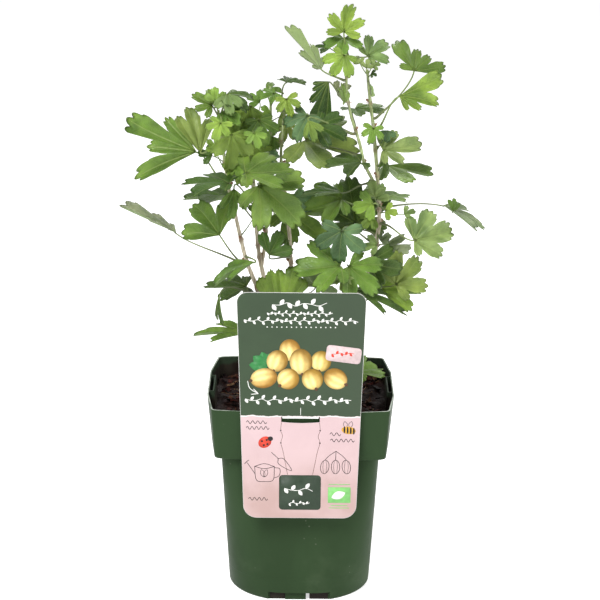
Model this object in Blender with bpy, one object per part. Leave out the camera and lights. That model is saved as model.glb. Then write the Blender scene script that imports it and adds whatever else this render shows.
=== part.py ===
"""A young gooseberry bush in a square nursery pot, with a label card hung on the pot's front.

The pot stands on z = 0 and its middle is the origin. +Z is up and -Y is the front. Lengths are in millimetres
until the meshes are made, and MM turns them into metres.
"""

import math

import bpy
import numpy as np

MM = 0.001
GAP = 0.35  # clearance between pieces that touch
CUT_SPARE = 2.0  # how far a cutter reaches past the surface that it cuts

# Pot
RIM_Z = 178.0
COLLAR_Z = 133.5
WALL = 1.2
RIM_HALF = 75.0
RIM_BULGE = 4.8
COLLAR_FOOT_HALF = 72.2
COLLAR_FOOT_BULGE = 3.4
COLLAR_CORNER = 5.0
BODY_TOP_HALF = 67.0
BODY_TOP_CORNER = 14.0
BASE_HALF = 61.4
BASE_CORNER = 55.0
BODY_LEVELS = (20, 45, 75, 105)  # heights of the rings between foot and collar
BULGE_END = 0.93  # where a side's bulge ends, as a share of half the side
BULGE_SLOPE = 0.5  # how long its slope is, as the same share
ROUNDING_SHARE = 0.85  # how fast the body's corners tighten on the way up
LEDGE = 1.6  # rounding of the collar's lower edge
BODY_START_Z = 1.8
STEP_BACK = 0.1  # lowers the ledge's inner edge, so that its face slopes
FLOOR_UNDER_Z = 8.0
FLOOR_TOP_Z = 9.6
FOOT_WIDTH = 2.2  # of the ring that the pot stands on
FOOT_CHAMFER = 0.7
NOTCH_WIDTH = 50.0
NOTCH_HEIGHT = 7.5
NOTCH_OUT = (56.5, 66.0)  # how far out from the middle a notch starts and ends
BAR_SPANS = ((-25.0, 6.0), (9.0, 25.0))  # sideways spans of the two bars behind each notch
BAR_OUT = (44.0, 52.0)
POCKET_WIDTH = 44.0
POCKET_GAP = 3.0
POCKET_EDGE = 0.6  # how far a pocket stays from the rim and from the ledge
POCKET_ROOT = 0.5  # how far it reaches into the collar's wall
POCKET_FLOOR = 2.0
POCKET_ROOM = 20.0  # height of the room that is kept clear above a pocket
SLOT_SPARE = 0.1  # how much thicker the wall is in front of the pocket's slot
DRAIN_RADIUS = 3.5
DRAIN_CIRCLE = 38.0
FRONT_AND_BACK = (1, 3)  # quarter turns from +X of the sides with a notch
# Degrees of the points of one side of a level ring
SIDE_TURNS = (-45, -44, -42, -38, -31, -23, -12, 0, 12, 23, 31, 38, 42, 44)

# Soil
SOIL_Z = 161.0
SOIL_GAP = 1.5  # clearance to the pot's wall
SOIL_SHARES = (1.0, 0.7, 0.35)  # sizes of the rings of its surface, from the rim in
CANE_ROOM = 30.0  # length of the socket that a cane's foot stands in

# Label card
CARD_TOP_Z = 282.0
CARD_FOOT_Z = 85.0
CARD_TOP_WIDTH = 106.0
CARD_FOOT_WIDTH = 95.0
CARD_TOP_CORNER = 8.5
CARD_FOOT_CORNER = 11.5
CARD_THICKNESS = 0.6
CARD_FRONT_Y = -81.6
SLOT_WIDTH = 32.0
SLOT_Z = (169.5, 174.5)
TONGUE_WIDTH = 30.0
TONGUE_FOOT_Z = 145.0
TONGUE_RISE = 0.7  # how far the tongue clears the rim

# Plant. Its places are laid out as they look on the plane y = 0 from EYE, and a depth slides a place
# along its line of sight, so that the bush keeps its outline from the front.
EYE = np.array([0.0, -1672.5, 729.0])
BLADE_THICKNESS = 0.7
PETIOLE_RADIUS = 0.65
PETIOLE_SIDES = 5
PETIOLE_FOOT = 1.3  # how much thicker its foot is
PETIOLE_INTO = (1.6, 0.25)  # how far its end goes into the blade, along it and below it
PETIOLE_PULLS = (0.35, 0.25, 0.06)  # how strongly it leaves its foot, and meets the blade along and below it
PETIOLE_RISE = (0.35, 0.25)  # how level it starts, and how much it rises
CANE_SIDES = 8
BUD_RADIUS = 1.7
BUD_GAP = 0.6
BUD_RING = (0.5, 0.87)  # height and radius of a bud's two rings, as shares of its radius

# Each cane: its points (x, z, depth) from the soil up, then its radius at the foot and at the tip.
CANES = {
    "cane_left": (
        [(-13, 149, -4), (-17, 173, -5), (-24, 213, -8), (-33, 248, -12), (-40, 268, -15), (-47, 286, -17),
         (-52, 306, -18), (-57, 328, -19), (-62, 349, -20), (-65, 368, -20), (-68, 391, -19), (-71, 417, -18)],
        2.2, 1.1,
    ),
    "cane_middle_left": (
        [(-9, 150, 9), (-12, 173, 9), (-20, 218, 10), (-28, 253, 11), (-33, 275, 12), (-36, 290, 12),
         (-38, 306, 13), (-40, 333, 14), (-41, 353, 15), (-43, 383, 16), (-44, 409, 17)],
        2.4, 1.1,
    ),
    "cane_middle": (
        [(-3, 150, -9), (-5, 183, -8), (-8, 233, -5), (-9, 273, -2), (-10, 300, 0), (-12, 325, 2),
         (-15, 349, 5), (-18, 371, 7), (-18, 391, 9), (-16, 412, 10)],
        2.1, 1.0,
    ),
    "cane_right": (
        [(12, 150, 2), (19, 178, 3), (33, 218, 5), (47, 253, 7), (57, 278, 8), (62, 298, 9), (65, 318, 9),
         (65, 338, 9), (63, 363, 9), (61, 383, 9), (59, 403, 8), (56, 424, 7), (54, 441, 6), (53, 452, 5)],
        2.4, 1.1,
    ),
}

# Each side shoot: the cane that it grows from, its points, the first inside that cane, and its two radii.
SHOOTS = {
    "shoot_middle": (
        "cane_middle_left",
        [(-34.5, 282, 12), (-32, 299, 17), (-30, 323, 21), (-29, 349, 23), (-28, 376, 24), (-27, 402, 24),
         (-27.5, 437, 24)],
        1.6, 1.0,
    ),
    "shoot_right": (
        "cane_right",
        [(65, 341, 9), (60, 356, 2), (52, 372, -5), (48, 388, -8), (44, 401, -9), (40, 413, -10),
         (36.5, 431, -10), (35.5, 450, -9), (35, 461, -9)],
        1.5, 0.9,
    ),
}

# Blade forms: how deep the notches between lobes are, as a share of the lobes, then for each lobe its
# direction from the midrib in degrees and its share of the leaf's length.
FORMS = {
    "wide": (0.42, ((-104, 0.66), (-52, 0.92), (0, 1.0), (52, 0.92), (104, 0.66))),
    "fan": (0.24, ((-100, 0.72), (-50, 0.94), (0, 1.0), (50, 0.94), (100, 0.72))),
    "plain": (0.40, ((-92, 0.54), (-46, 0.86), (0, 1.0), (46, 0.86), (92, 0.54))),
    "young": (0.40, ((-55, 0.80), (0, 1.0), (55, 0.80))),
    "narrow": (0.40, ((-34, 0.76), (0, 1.0), (34, 0.76))),
    "three": (0.40, ((-46, 0.88), (0, 1.0), (46, 0.88))),
    "star": (0.46, ((-100, 0.60), (-50, 0.80), (0, 1.0), (50, 0.80), (100, 0.60))),
    "hand": (0.42, ((-22, 0.86), (4, 0.66), (18, 1.04), (40, 0.60))),
    "blunt": (0.20, ((-22, 0.88), (0, 1.0), (26, 0.78))),
    "crown": (0.14, ((-40, 0.92), (-20, 1.02), (0, 1.0), (20, 1.02), (40, 0.92))),
    "pale": (0.26, ((-88, 0.50), (-44, 0.74), (0, 0.96), (44, 0.70), (88, 0.36))),
    "spear": (0.38, ((-90, 0.40), (-46, 0.58), (0, 1.0), (46, 0.60), (90, 0.40))),
    "side": (0.36, ((0, 1.0), (42, 0.88), (84, 0.62))),
    "hood": (0.28, ((-76, 0.52), (-38, 1.14), (0, 0.76), (38, 0.74), (76, 1.0))),
    "sweep": (0.28, ((-20, 1.0), (8, 0.85), (36, 0.52), (64, 0.36))),
    "closed": (0.20, ((-10, 0.95), (0, 1.0), (12, 0.84))),
    "sliver": (0.20, ((-60, 0.30), (-30, 0.55), (0, 1.0), (30, 0.60), (60, 0.34))),
    "hung": (0.20, ((-8, 0.88), (12, 1.0), (32, 0.62), (52, 0.42), (72, 0.34))),
}
LOBE_BLUNTNESS = 2.2
LEAST_REACH = 0.12  # of a blade at its base, as a share of its length
LEAST_OPEN = 0.2  # how far open towards EYE a blade is taken to be when its midrib is laid out
SHOULDER_LENGTH = 14.0  # blades longer than this have shoulders on their lobes
TWO_RING_LENGTH = 40.0  # blades longer than this bend over two rings of points
STRAIGHT = 0.001  # radians of bend that count as none
FOLD = 10.0  # degrees that each half of a blade rises from the midrib
SIDE_BEND = 18.0  # degrees that each half bends down again towards its edge

TONES = {
    "bright": (0.26, 0.385, 0.038),
    "light": (0.32, 0.42, 0.09),
    "mid": (0.122, 0.225, 0.020),
    "dark": (0.046, 0.108, 0.008),
    "olive": (0.19, 0.28, 0.048),
    "grey": (0.25, 0.31, 0.15),
    "fresh": (0.18, 0.31, 0.032),
    "blue": (0.105, 0.205, 0.072),
}

# Each node of foliage: its name, its stem, the height of its foot there, and its leaves. Each leaf is the
# place (x, z, depth) where blade and petiole meet, the midrib's direction seen from the front (0 to the
# right, 90 up), the length, how far the upper face turns to the right and up, the blade's bend along its
# midrib, its form and its tone.
FOLIAGE = (
    ("spur_left_low", "cane_left", 284, (
        ((-70, 309, -40), 124, 37, -8, 30, 10, "three", "mid"),
        ((-107, 311, 12), 153, 54, 97, 63, 4, "sliver", "grey"),
    )),
    ("leaf_left_low", "cane_left", 291, (((-40, 286, -44), 206, 42, -80, 66, 8, "narrow", "mid"),)),
    ("spur_left", "cane_left", 354, (
        ((-89, 381, 2), 176, 70, -4, 28, 6, "hand", "mid"),
        ((-62, 354, -52), 177, 43, 0, 86, 6, "plain", "dark"),
    )),
    ("leaf_left_behind", "cane_left", 385, (((-86, 380, -6), 101, 43, 8, 20, 8, "blunt", "olive"),)),
    ("leaf_left_level", "shoot_middle", 316, (((-58, 341, 10), 180, 46, 0, 92, 4, "three", "dark"),)),
    ("leaf_left_inner", "shoot_middle", 324, (((-58, 350, -40), 270, 27, 10, 18, 20, "narrow", "mid"),)),
    ("spur_left_base", "cane_left", 259, (
        ((-47, 264, -10), 182, 38, 0, 78, 14, "plain", "dark"),
        ((-70, 259, -52), 264, 30, -60, 10, 20, "closed", "dark"),
    )),
    ("leaf_left_lowest", "cane_left", 215, (((-46, 222, -42), 178, 50, 0, 82, 12, "narrow", "mid"),)),
    ("spur_left_tip", "cane_left", 412, (
        ((-76, 421, -24), 152, 21, 0, 35, 20, "star", "mid"),
        ((-64, 430, -18), 342, 27, 0, 82, 50, "plain", "dark"),
        ((-63, 431, -34), 275, 18, 0, 15, 20, "three", "light"),
        ((-66, 417, -26), 320, 19, 0, 45, 20, "young", "mid"),
        ((-69, 406, -52), 250, 18, 0, 20, 20, "star", "bright"),
        ((-73, 424, -34), 96, 14, 0, 20, 15, "young", "bright"),
    )),
    ("leaf_left_shoot", "cane_left", 396, (((-60, 397, -30), 268, 34, 40, 12, 20, "plain", "fresh"),)),
    ("leaf_behind_crown", "cane_middle_left", 375, (((-48, 390, 40), 130, 33, 20, 30, 20, "plain", "mid"),)),
    ("spur_inner", "cane_middle_left", 401, (
        ((-44, 421, -6), 262, 25, 20, 15, 15, "three", "fresh"),
        ((-37, 409, -12), 285, 24, 10, 20, 20, "plain", "mid"),
    )),
    ("leaf_inner_bright", "cane_middle_left", 367, (((-52, 379, 0), 325, 31, 0, 40, 20, "wide", "fresh"),)),
    ("leaf_centre_large", "cane_middle", 353, (((-37, 353, -36), 322, 47, 8, 32, 15, "plain", "fresh"),)),
    ("leaf_centre_side", "cane_middle", 371, (((-48, 363, -55), 4, 43, 0, 68, 10, "plain", "mid"),)),
    ("leaf_centre_grey", "cane_middle", 325, (((-8, 343, 30), 330, 27, 0, -30, 20, "plain", "blue"),)),
    ("leaf_centre_long", "cane_middle", 300, (((-12, 331, 47), 322, 43, 0, 45, 12, "plain", "fresh"),)),
    ("leaf_centre_dark", "cane_middle", 291, (((-28, 292, -40), 62, 23, -10, 15, 15, "three", "dark"),)),
    ("spur_middle_tip", "cane_middle", 406, (
        ((-14, 427, -18), 285, 17, 0, 15, 15, "star", "bright"),
        ((-15, 441, -6), 8, 19, 0, 88, 5, "plain", "dark"),
    )),
    ("tuft_middle_tip", "shoot_middle", 431, (
        ((-31, 433, 34), 8, 16, 0, 62, 10, "young", "mid"),
        ((-27, 415, 12), 200, 12, 0, 20, 10, "young", "bright"),
    )),
    ("leaf_front_left", "cane_middle", 235, (((-17, 243, -34), 92, 37, 0, 0, 12, "crown", "mid"),)),
    ("leaf_front_middle", "cane_middle", 261, (((33, 283, -38), 184, 41, 5, 56, 12, "plain", "mid"),)),
    ("leaf_rear_left", "cane_middle_left", 303, (((-44, 378, 72), 95, 38, 170, 25, 20, "wide", "mid"),)),
    ("leaf_rear_low", "cane_middle_left", 253, (((12, 264, 72), 60, 34, 180, 30, 20, "wide", "dark"),)),
    ("leaf_rear_middle", "cane_middle", 355, (((-24, 330, 72), 84, 36, 190, 30, 20, "plain", "mid"),)),
    ("leaf_middle_grey", "cane_right", 304, (((34, 314, -39), 262, 28, -12, 15, 15, "wide", "blue"),)),
    ("leaf_middle_dark", "cane_right", 309, (((45, 321, 56), 99, 43, -5, 12, 12, "wide", "dark"),)),
    ("leaf_middle_left", "cane_right", 325, (((33, 341, 17), 192, 34, 0, 52, 15, "plain", "fresh"),)),
    ("leaf_middle_level", "shoot_right", 355, (((34, 347, 8), 180, 38, 0, 88, 4, "narrow", "dark"),)),
    ("leaf_middle_olive", "shoot_right", 379, (((2, 392, 14), 350, 47, 0, 54, 5, "wide", "olive"),)),
    ("leaf_middle_shade", "shoot_right", 369, (((49, 373, -26), 186, 32, 0, 82, 10, "plain", "dark"),)),
    ("spur_middle_right", "shoot_right", 398, (
        ((4, 413, -18), 240, 26, -15, 25, 20, "plain", "blue"),
        ((12, 404, -24), 342, 27, 0, 38, 15, "plain", "dark"),
        ((4, 409, -40), 290, 21, 20, 15, 20, "narrow", "fresh"),
    )),
    ("leaf_right_pale", "cane_right", 321, (((95, 306, -22), 14, 41, 8, 28, 10, "pale", "light"),)),
    ("leaf_right_far", "cane_right", 334, (((119, 337, 10), 331, 48, 78, 58, 2, "narrow", "grey"),)),
    ("leaf_right_underside", "cane_right", 299, (((70, 302, 26), 352, 25, 0, -25, 15, "plain", "grey"),)),
    ("leaf_right_dark", "cane_right", 287, (((57, 287, -20), 342, 29, 0, 20, 15, "three", "dark"),)),
    ("leaf_right_olive", "cane_right", 265, (((80, 267, -12), 46, 34, 5, 20, 12, "plain", "olive"),)),
    ("leaf_right_low", "cane_right", 249, (((68, 262, -2), 8, 39, 5, 44, 12, "three", "bright"),)),
    ("leaf_front_right", "cane_right", 273, (((40, 283, -37), 318, 34, 5, 16, 12, "plain", "mid"),)),
    ("leaf_front_corner", "cane_right", 235, (((44, 263, -34), 333, 50, 72, 62, 4, "narrow", "dark"),)),
    ("leaf_on_soil", "cane_right", 175, (((46, 188, -23), 14, 30, 8, 80, 6, "fan", "mid"),)),
    ("leaf_right_level", "cane_right", 346, (((56, 342, 24), 9, 41, 0, 88, 4, "three", "mid"),)),
    ("leaf_right_wing", "cane_right", 359, (((71, 371, 36), 349, 44, 0, 72, 8, "side", "mid"),)),
    ("leaf_right_upper", "cane_right", 371, (((67, 384, 4), 8, 37, 0, 42, 10, "spear", "light"),)),
    ("leaf_upper_right", "cane_right", 401, (((80, 430, -12), 3, 42, 0, 25, 8, "sweep", "bright"),)),
    ("leaf_upper_far", "cane_right", 411, (((92, 451, 18), 86, 27, 8, 25, 12, "hood", "mid"),)),
    ("spur_top", "shoot_right", 461, (
        ((33, 483, -6), 82, 25, 0, 15, 15, "star", "bright"),
        ((33, 478, 2), 262, 21, 0, 58, 15, "wide", "mid"),
        ((53, 463, 4), 38, 22, 0, 30, 12, "plain", "light"),
        ((34, 464, -24), 240, 22, 0, 20, 15, "plain", "bright"),
    )),
    ("leaf_upper_level", "shoot_right", 402, (((43, 419, 32), 348, 31, 0, 86, 12, "plain", "mid"),)),
    ("leaf_top_left", "shoot_right", 443, (((15, 452, -8), 131, 46, 130, 28, 6, "sliver", "light"),)),
    ("spur_top_dark", "shoot_right", 425, (
        ((21, 442, 2), 262, 40, -10, 12, 8, "hung", "dark"),
        ((28, 432, 10), 38, 14, -20, 20, 10, "young", "grey"),
        ((34, 423, -26), 95, 19, 60, 15, 10, "narrow", "olive"),
    )),
    ("tuft_right_tip", "cane_right", 443, (
        ((52, 453, -6), 75, 9, 0, 25, 10, "young", "light"),
        ((57, 429, -8), 88, 14, 75, 10, 10, "narrow", "light"),
    )),
    ("tuft_right_young", "cane_right", 337, (
        ((60, 338, -20), 198, 19, 0, 20, 15, "young", "bright"),
        ((70, 332, -6), 350, 12, 0, 15, 10, "young", "bright"),
        ((61, 344, -12), 100, 15, 0, 15, 15, "young", "light"),
        ((59, 327, -10), 232, 15, 0, 20, 10, "young", "fresh"),
    )),
)


def seen_at(place):
    """The point whose sight line from EYE meets the plane y = 0 at x and z, at the given depth."""
    x, z, depth = place
    share = (depth - EYE[1]) / -EYE[1]
    return np.array([x * share, depth, EYE[2] + (z - EYE[2]) * share])


def unit(vector):
    return vector / np.linalg.norm(vector)


def clear_scene():
    for obj in list(bpy.data.objects):
        bpy.data.objects.remove(obj, do_unlink=True)


def make_material(name, colour, roughness, metallic=0.0):
    material = bpy.data.materials.new(name)
    material.use_nodes = True
    shader = material.node_tree.nodes["Principled BSDF"]
    shader.inputs["Base Color"].default_value = (*colour, 1.0)
    shader.inputs["Roughness"].default_value = roughness
    shader.inputs["Metallic"].default_value = metallic
    material.diffuse_color = (*colour, 1.0)
    return material


def pot_material():
    return make_material("pot_green_plastic", (0.057, 0.100, 0.050), 0.45)


def soil_material():
    return make_material("potting_soil_brown", (0.020, 0.011, 0.008), 0.95)


def card_material():
    return make_material("card_pink", (0.80, 0.60, 0.61), 0.45)


def bark_material(name):
    return make_material(f"{name}_bark", (0.32, 0.26, 0.19), 0.85)


def leaf_material(name, tone):
    return make_material(f"{name}_{tone}", TONES[tone], 0.50)


def add_object(name, points, faces, material, smooth=True):
    """An object from points in millimetres and faces that list them anticlockwise from outside."""
    mesh = bpy.data.meshes.new(name)
    mesh.from_pydata([tuple(MM * value for value in point) for point in points], [], faces)
    mesh.validate()
    obj = bpy.data.objects.new(name, mesh)
    bpy.context.scene.collection.objects.link(obj)
    mesh.materials.append(material)
    if smooth:
        mesh.shade_smooth()
        mesh.set_sharp_from_angle(angle=math.radians(40))
    return obj


def as_helper(obj):
    """Keeps a cutter or a shape that is joined to another out of the model."""
    obj.hide_render = True
    obj.display_type = "WIRE"
    return obj


def add_boolean(obj, other, operation):
    modifier = obj.modifiers.new(f"{operation.lower()}_{other.name}", "BOOLEAN")
    modifier.operation = operation
    modifier.solver = "EXACT"
    modifier.object = as_helper(other)


def loft(rings, foot, tip):
    """Points and faces of the surface through equal rings, closed by a fan to a point at each end."""
    count = len(rings[0])
    points = [tuple(foot)] + [tuple(point) for ring in rings for point in ring] + [tuple(tip)]
    faces = []
    for step in range(count):
        following = (step + 1) % count
        faces.append((0, 1 + following, 1 + step))
        for level in range(len(rings) - 1):
            low = 1 + level * count
            high = low + count
            faces.append((low + step, low + following, high + following, high + step))
        last = 1 + (len(rings) - 1) * count
        faces.append((last + step, last + following, len(points) - 1))
    return points, faces


def section(height, half, corner, bulge=0.0):
    """A level ring: a square with round corners whose sides swell by bulge over their middle two fifths."""
    turn = np.radians(np.array(SIDE_TURNS, float))
    flat = half - corner
    along, out = np.sin(turn), np.cos(turn)
    reach = half / out
    middle = flat * (np.abs(along) + out)
    arc = middle + np.sqrt(np.maximum(corner ** 2 - 2 * flat ** 2 + middle ** 2, 0.0))
    reach = np.where(np.abs(along) * half > flat * out, arc, reach)
    tangent, normal = reach * along, reach * out
    swell = np.clip((BULGE_END - np.abs(tangent) / half) / BULGE_SLOPE, 0.0, 1.0)
    normal = normal + bulge * swell
    quarter = np.stack([normal, tangent, np.full_like(normal, height)], axis=1)
    rings = []
    for side in range(4):
        cosine, sine = math.cos(side * math.pi / 2), math.sin(side * math.pi / 2)
        turned = quarter.copy()
        turned[:, 0] = quarter[:, 0] * cosine - quarter[:, 1] * sine
        turned[:, 1] = quarter[:, 0] * sine + quarter[:, 1] * cosine
        rings.append(turned)
    return np.concatenate(rings)


def body_size(height):
    """Half width and corner radius of the pot's body: nearly round at its base, squarer under the collar."""
    share = height / COLLAR_Z
    half = BASE_HALF + (BODY_TOP_HALF - BASE_HALF) * share
    corner = BASE_CORNER + (BODY_TOP_CORNER - BASE_CORNER) * share ** ROUNDING_SHARE
    return half, corner


def collar_size(height):
    """Half width and bulge of the collar, which flares a little towards the rim."""
    share = (height - COLLAR_Z) / (RIM_Z - COLLAR_Z)
    half = COLLAR_FOOT_HALF + (RIM_HALF - COLLAR_FOOT_HALF) * share
    bulge = COLLAR_FOOT_BULGE + (RIM_BULGE - COLLAR_FOOT_BULGE) * share
    return half, bulge


def body_section(height, inset=0.0):
    half, corner = body_size(height)
    return section(height, half - inset, corner - inset)


def base_section(height, inset):
    """The pot's outline at its foot, at any height."""
    return section(height, BASE_HALF - inset, BASE_CORNER - inset)


def collar_section(height, inset=0.0):
    half, bulge = collar_size(height)
    return section(height, half - inset, COLLAR_CORNER, bulge)


def box_between(low, high, half_low, half_high, out_low, out_high):
    """Points and faces of a block on the pot's +X side: its half width at its foot and at its top, and how
    far out its inner and outer faces stand there."""
    points = []
    for height, half, (inner, outer) in ((low, half_low, out_low), (high, half_high, out_high)):
        points += [(inner, -half, height), (outer, -half, height)]
        points += [(outer, half, height), (inner, half, height)]
    faces = [(0, 3, 2, 1), (4, 5, 6, 7), (0, 1, 5, 4), (1, 2, 6, 5), (2, 3, 7, 6), (3, 0, 4, 7)]
    return points, faces


def on_sides(blocks, sides=(0, 1, 2, 3)):
    """Blocks of the +X side, repeated on sides 0 to 3 round the pot, as one list of points and faces."""
    points, faces = [], []
    for side in sides:
        cosine, sine = math.cos(side * math.pi / 2), math.sin(side * math.pi / 2)
        for block_points, block_faces in blocks:
            start = len(points)
            points += [(x * cosine - y * sine, x * sine + y * cosine, z) for x, y, z in block_points]
            faces += [tuple(start + index for index in face) for face in block_faces]
    return points, faces


def wall_out(height):
    """How far out the collar's outer face stands at the middle of a side."""
    half, bulge = collar_size(height)
    return half + bulge


def pocket_block(grow=0.0):
    """The block that carries a label pocket, from the ledge up to the rim, inside the collar's wall."""
    low = COLLAR_Z + POCKET_EDGE - grow
    high = RIM_Z - POCKET_EDGE
    if grow > 0:
        high += POCKET_ROOM
    depth = WALL + POCKET_GAP + WALL
    half = POCKET_WIDTH / 2 + grow
    return box_between(
        low, high, half, half,
        (wall_out(low) - depth - grow, wall_out(low) - POCKET_ROOT),
        (wall_out(high) - depth - grow, wall_out(high) - POCKET_ROOT),
    )


def pocket_slot():
    """The slot in a label pocket, open above the rim."""
    low = COLLAR_Z + POCKET_FLOOR
    high = RIM_Z + CUT_SPARE
    half = POCKET_WIDTH / 2 - WALL
    outer = WALL + SLOT_SPARE
    return box_between(
        low, high, half, half,
        (wall_out(low) - outer - POCKET_GAP, wall_out(low) - outer),
        (wall_out(high) - outer - POCKET_GAP, wall_out(high) - outer),
    )


def foot_bars():
    """Two bars under the floor by each notch, with a clear channel between them."""
    bars = []
    for start, end in BAR_SPANS:
        points, faces = box_between(0.0, (FLOOR_UNDER_Z + FLOOR_TOP_Z) / 2, 1.0, 1.0, BAR_OUT, BAR_OUT)
        middle, half = (start + end) / 2, (end - start) / 2
        bars.append(([(x, middle + y * half, z) for x, y, z in points], faces))
    return bars


def drain_hole(turn):
    """A short upright cylinder that cuts a hole through the floor."""
    angles = np.radians(np.arange(0, 360, 30))
    centre = DRAIN_CIRCLE * np.array([math.cos(math.radians(turn)), math.sin(math.radians(turn))])
    rings = []
    for height in (FLOOR_UNDER_Z - CUT_SPARE, FLOOR_TOP_Z + CUT_SPARE):
        ring = np.stack([
            centre[0] + DRAIN_RADIUS * np.cos(angles),
            centre[1] + DRAIN_RADIUS * np.sin(angles),
            np.full_like(angles, height),
        ], axis=1)
        rings.append(ring)
    return loft(rings, (*centre, FLOOR_UNDER_Z - CUT_SPARE), (*centre, FLOOR_TOP_Z + CUT_SPARE))


def make_pot():
    """One moulding: its skin is lofted from the foot ring's inside, up the outside and down the inside."""
    rings = [base_section(FLOOR_UNDER_Z, FOOT_CHAMFER + FOOT_WIDTH)]
    rings += [base_section(0.0, FOOT_CHAMFER + FOOT_WIDTH), base_section(0.0, FOOT_CHAMFER)]
    rings += [body_section(BODY_START_Z)]
    rings += [body_section(level) for level in BODY_LEVELS]
    rings += [body_section(COLLAR_Z), collar_section(COLLAR_Z, LEDGE), collar_section(COLLAR_Z + LEDGE)]
    rings += [collar_section(RIM_Z), collar_section(RIM_Z, WALL), collar_section(COLLAR_Z + WALL, WALL)]
    rings += [body_section(COLLAR_Z + WALL - STEP_BACK, WALL)]
    rings += [body_section(level, WALL) for level in reversed(BODY_LEVELS)]
    rings += [body_section(FLOOR_TOP_Z, WALL)]
    material = pot_material()
    pot = add_object("pot", *loft(rings, (0, 0, FLOOR_UNDER_Z), (0, 0, FLOOR_TOP_Z)), material)
    pockets = add_object("pot_pockets", *on_sides([pocket_block()]), material)
    bars = add_object("pot_foot_bars", *on_sides(foot_bars(), FRONT_AND_BACK), material)
    notch_half = NOTCH_WIDTH / 2
    notch = box_between(-CUT_SPARE, NOTCH_HEIGHT, notch_half + 1, notch_half - 0.5, NOTCH_OUT, NOTCH_OUT)
    holes = [pocket_slot(), drain_hole(45), drain_hole(0)]
    slots = add_object("pot_slots_and_holes", *on_sides(holes), material)
    notches = add_object("pot_foot_notches", *on_sides([notch], FRONT_AND_BACK), material)
    for helper in (pockets, bars):
        add_boolean(pot, helper, "UNION")
    for helper in (notches, slots):
        add_boolean(pot, helper, "DIFFERENCE")
    return pot


def soil_height(x, y):
    """Height of the soil's uneven surface."""
    return SOIL_Z + 1.6 * math.sin(0.09 * x + 0.6) * math.cos(0.11 * y) + 1.2 * math.sin(0.21 * x - 0.17 * y)


def make_soil():
    """Fills the pot to just under the rim, clear of the wall, the label pockets and the canes."""
    inset = WALL + SOIL_GAP
    levels = (FLOOR_TOP_Z + GAP, *BODY_LEVELS, COLLAR_Z + WALL + SOIL_GAP - STEP_BACK)
    rings = [body_section(level, inset) for level in levels]
    rings += [collar_section(COLLAR_Z + WALL + SOIL_GAP, inset)]
    top = collar_section(SOIL_Z, inset)
    for share in SOIL_SHARES:
        ring = top * (share, share, 1.0)
        ring[:, 2] = [soil_height(x, y) for x, y, _ in ring]
        rings.append(ring)
    soil = add_object("potting_soil", *loft(rings, (0, 0, FLOOR_TOP_Z + GAP), (0, 0, soil_height(0, 0))),
                      soil_material())
    pockets = add_object("soil_pocket_room", *on_sides([pocket_block(2 * GAP)]), soil_material())
    add_boolean(soil, pockets, "DIFFERENCE")
    for name, (places, foot_radius, _) in CANES.items():
        foot, above = seen_at(places[0]), seen_at(places[1])
        steep = unit(above - foot)
        start = foot - steep * GAP * 2
        end = foot + steep * CANE_ROOM
        room = add_object(f"soil_room_{name}", *tube([start, end], [foot_radius + GAP] * 2, CANE_SIDES),
                          soil_material())
        add_boolean(soil, room, "DIFFERENCE")
    return soil


def card_outline():
    """Outline of the card, anticlockwise seen from the front, with an arc of five points at each corner."""
    corners = ((CARD_FOOT_WIDTH / 2, CARD_FOOT_Z, 1, 1), (CARD_TOP_WIDTH / 2, CARD_TOP_Z, 1, -1),
               (-CARD_TOP_WIDTH / 2, CARD_TOP_Z, -1, -1), (-CARD_FOOT_WIDTH / 2, CARD_FOOT_Z, -1, 1))
    outline = []
    for index, (x, z, right, up) in enumerate(corners):
        corner = CARD_FOOT_CORNER if up == 1 else CARD_TOP_CORNER
        centre_x, centre_z = x - right * corner, z + up * corner
        for step in range(5):
            angle = math.radians(-90 + index * 90 + step * 22.5)
            outline.append((centre_x + corner * math.cos(angle), centre_z + corner * math.sin(angle)))
    return outline


def prism(outline, front, back, upright):
    """A flat outline made solid. upright(a, b, depth) places a point of the outline at a depth."""
    count = len(outline)
    points = [upright(a, b, front) for a, b in outline] + [upright(a, b, back) for a, b in outline]
    faces = [tuple(range(count)), tuple(reversed(range(count, 2 * count)))]
    for step in range(count):
        following = (step + 1) % count
        faces.append((step, step + count, following + count, following))
    return points, faces


def make_label_card():
    """The card, its slot, and the tongue that goes over the rim into the front label pocket."""
    back = CARD_FRONT_Y + CARD_THICKNESS
    material = card_material()
    shape = prism(card_outline(), CARD_FRONT_Y, back, lambda x, z, y: (x, y, z))
    card = add_object("label_card", *shape, material, smooth=False)
    slot_half = SLOT_WIDTH / 2
    low, high = SLOT_Z
    slot_outline = ((-slot_half, low), (slot_half, low), (slot_half, high), (-slot_half, high))
    shape = prism(slot_outline, CARD_FRONT_Y - CUT_SPARE, back + 0.9, lambda x, z, y: (x, y, z))
    slot = add_object("label_slot", *shape, material)
    pocket_top = -(wall_out(RIM_Z) - WALL - POCKET_GAP / 2)
    pocket_low = -(wall_out(TONGUE_FOOT_Z) - WALL - POCKET_GAP / 2)
    over = RIM_Z + TONGUE_RISE
    half_strip = CARD_THICKNESS / 2
    top = over + CARD_THICKNESS
    profile = (
        (back - half_strip, over), (pocket_top - half_strip, over), (pocket_low - half_strip, TONGUE_FOOT_Z),
        (pocket_low + half_strip, TONGUE_FOOT_Z), (pocket_top + half_strip, top), (back - half_strip, top),
    )
    half = TONGUE_WIDTH / 2
    tongue = add_object("label_tongue", *prism(profile, -half, half, lambda y, z, x: (x, y, z)), material)
    add_boolean(card, tongue, "UNION")
    add_boolean(card, slot, "DIFFERENCE")
    return card


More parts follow.
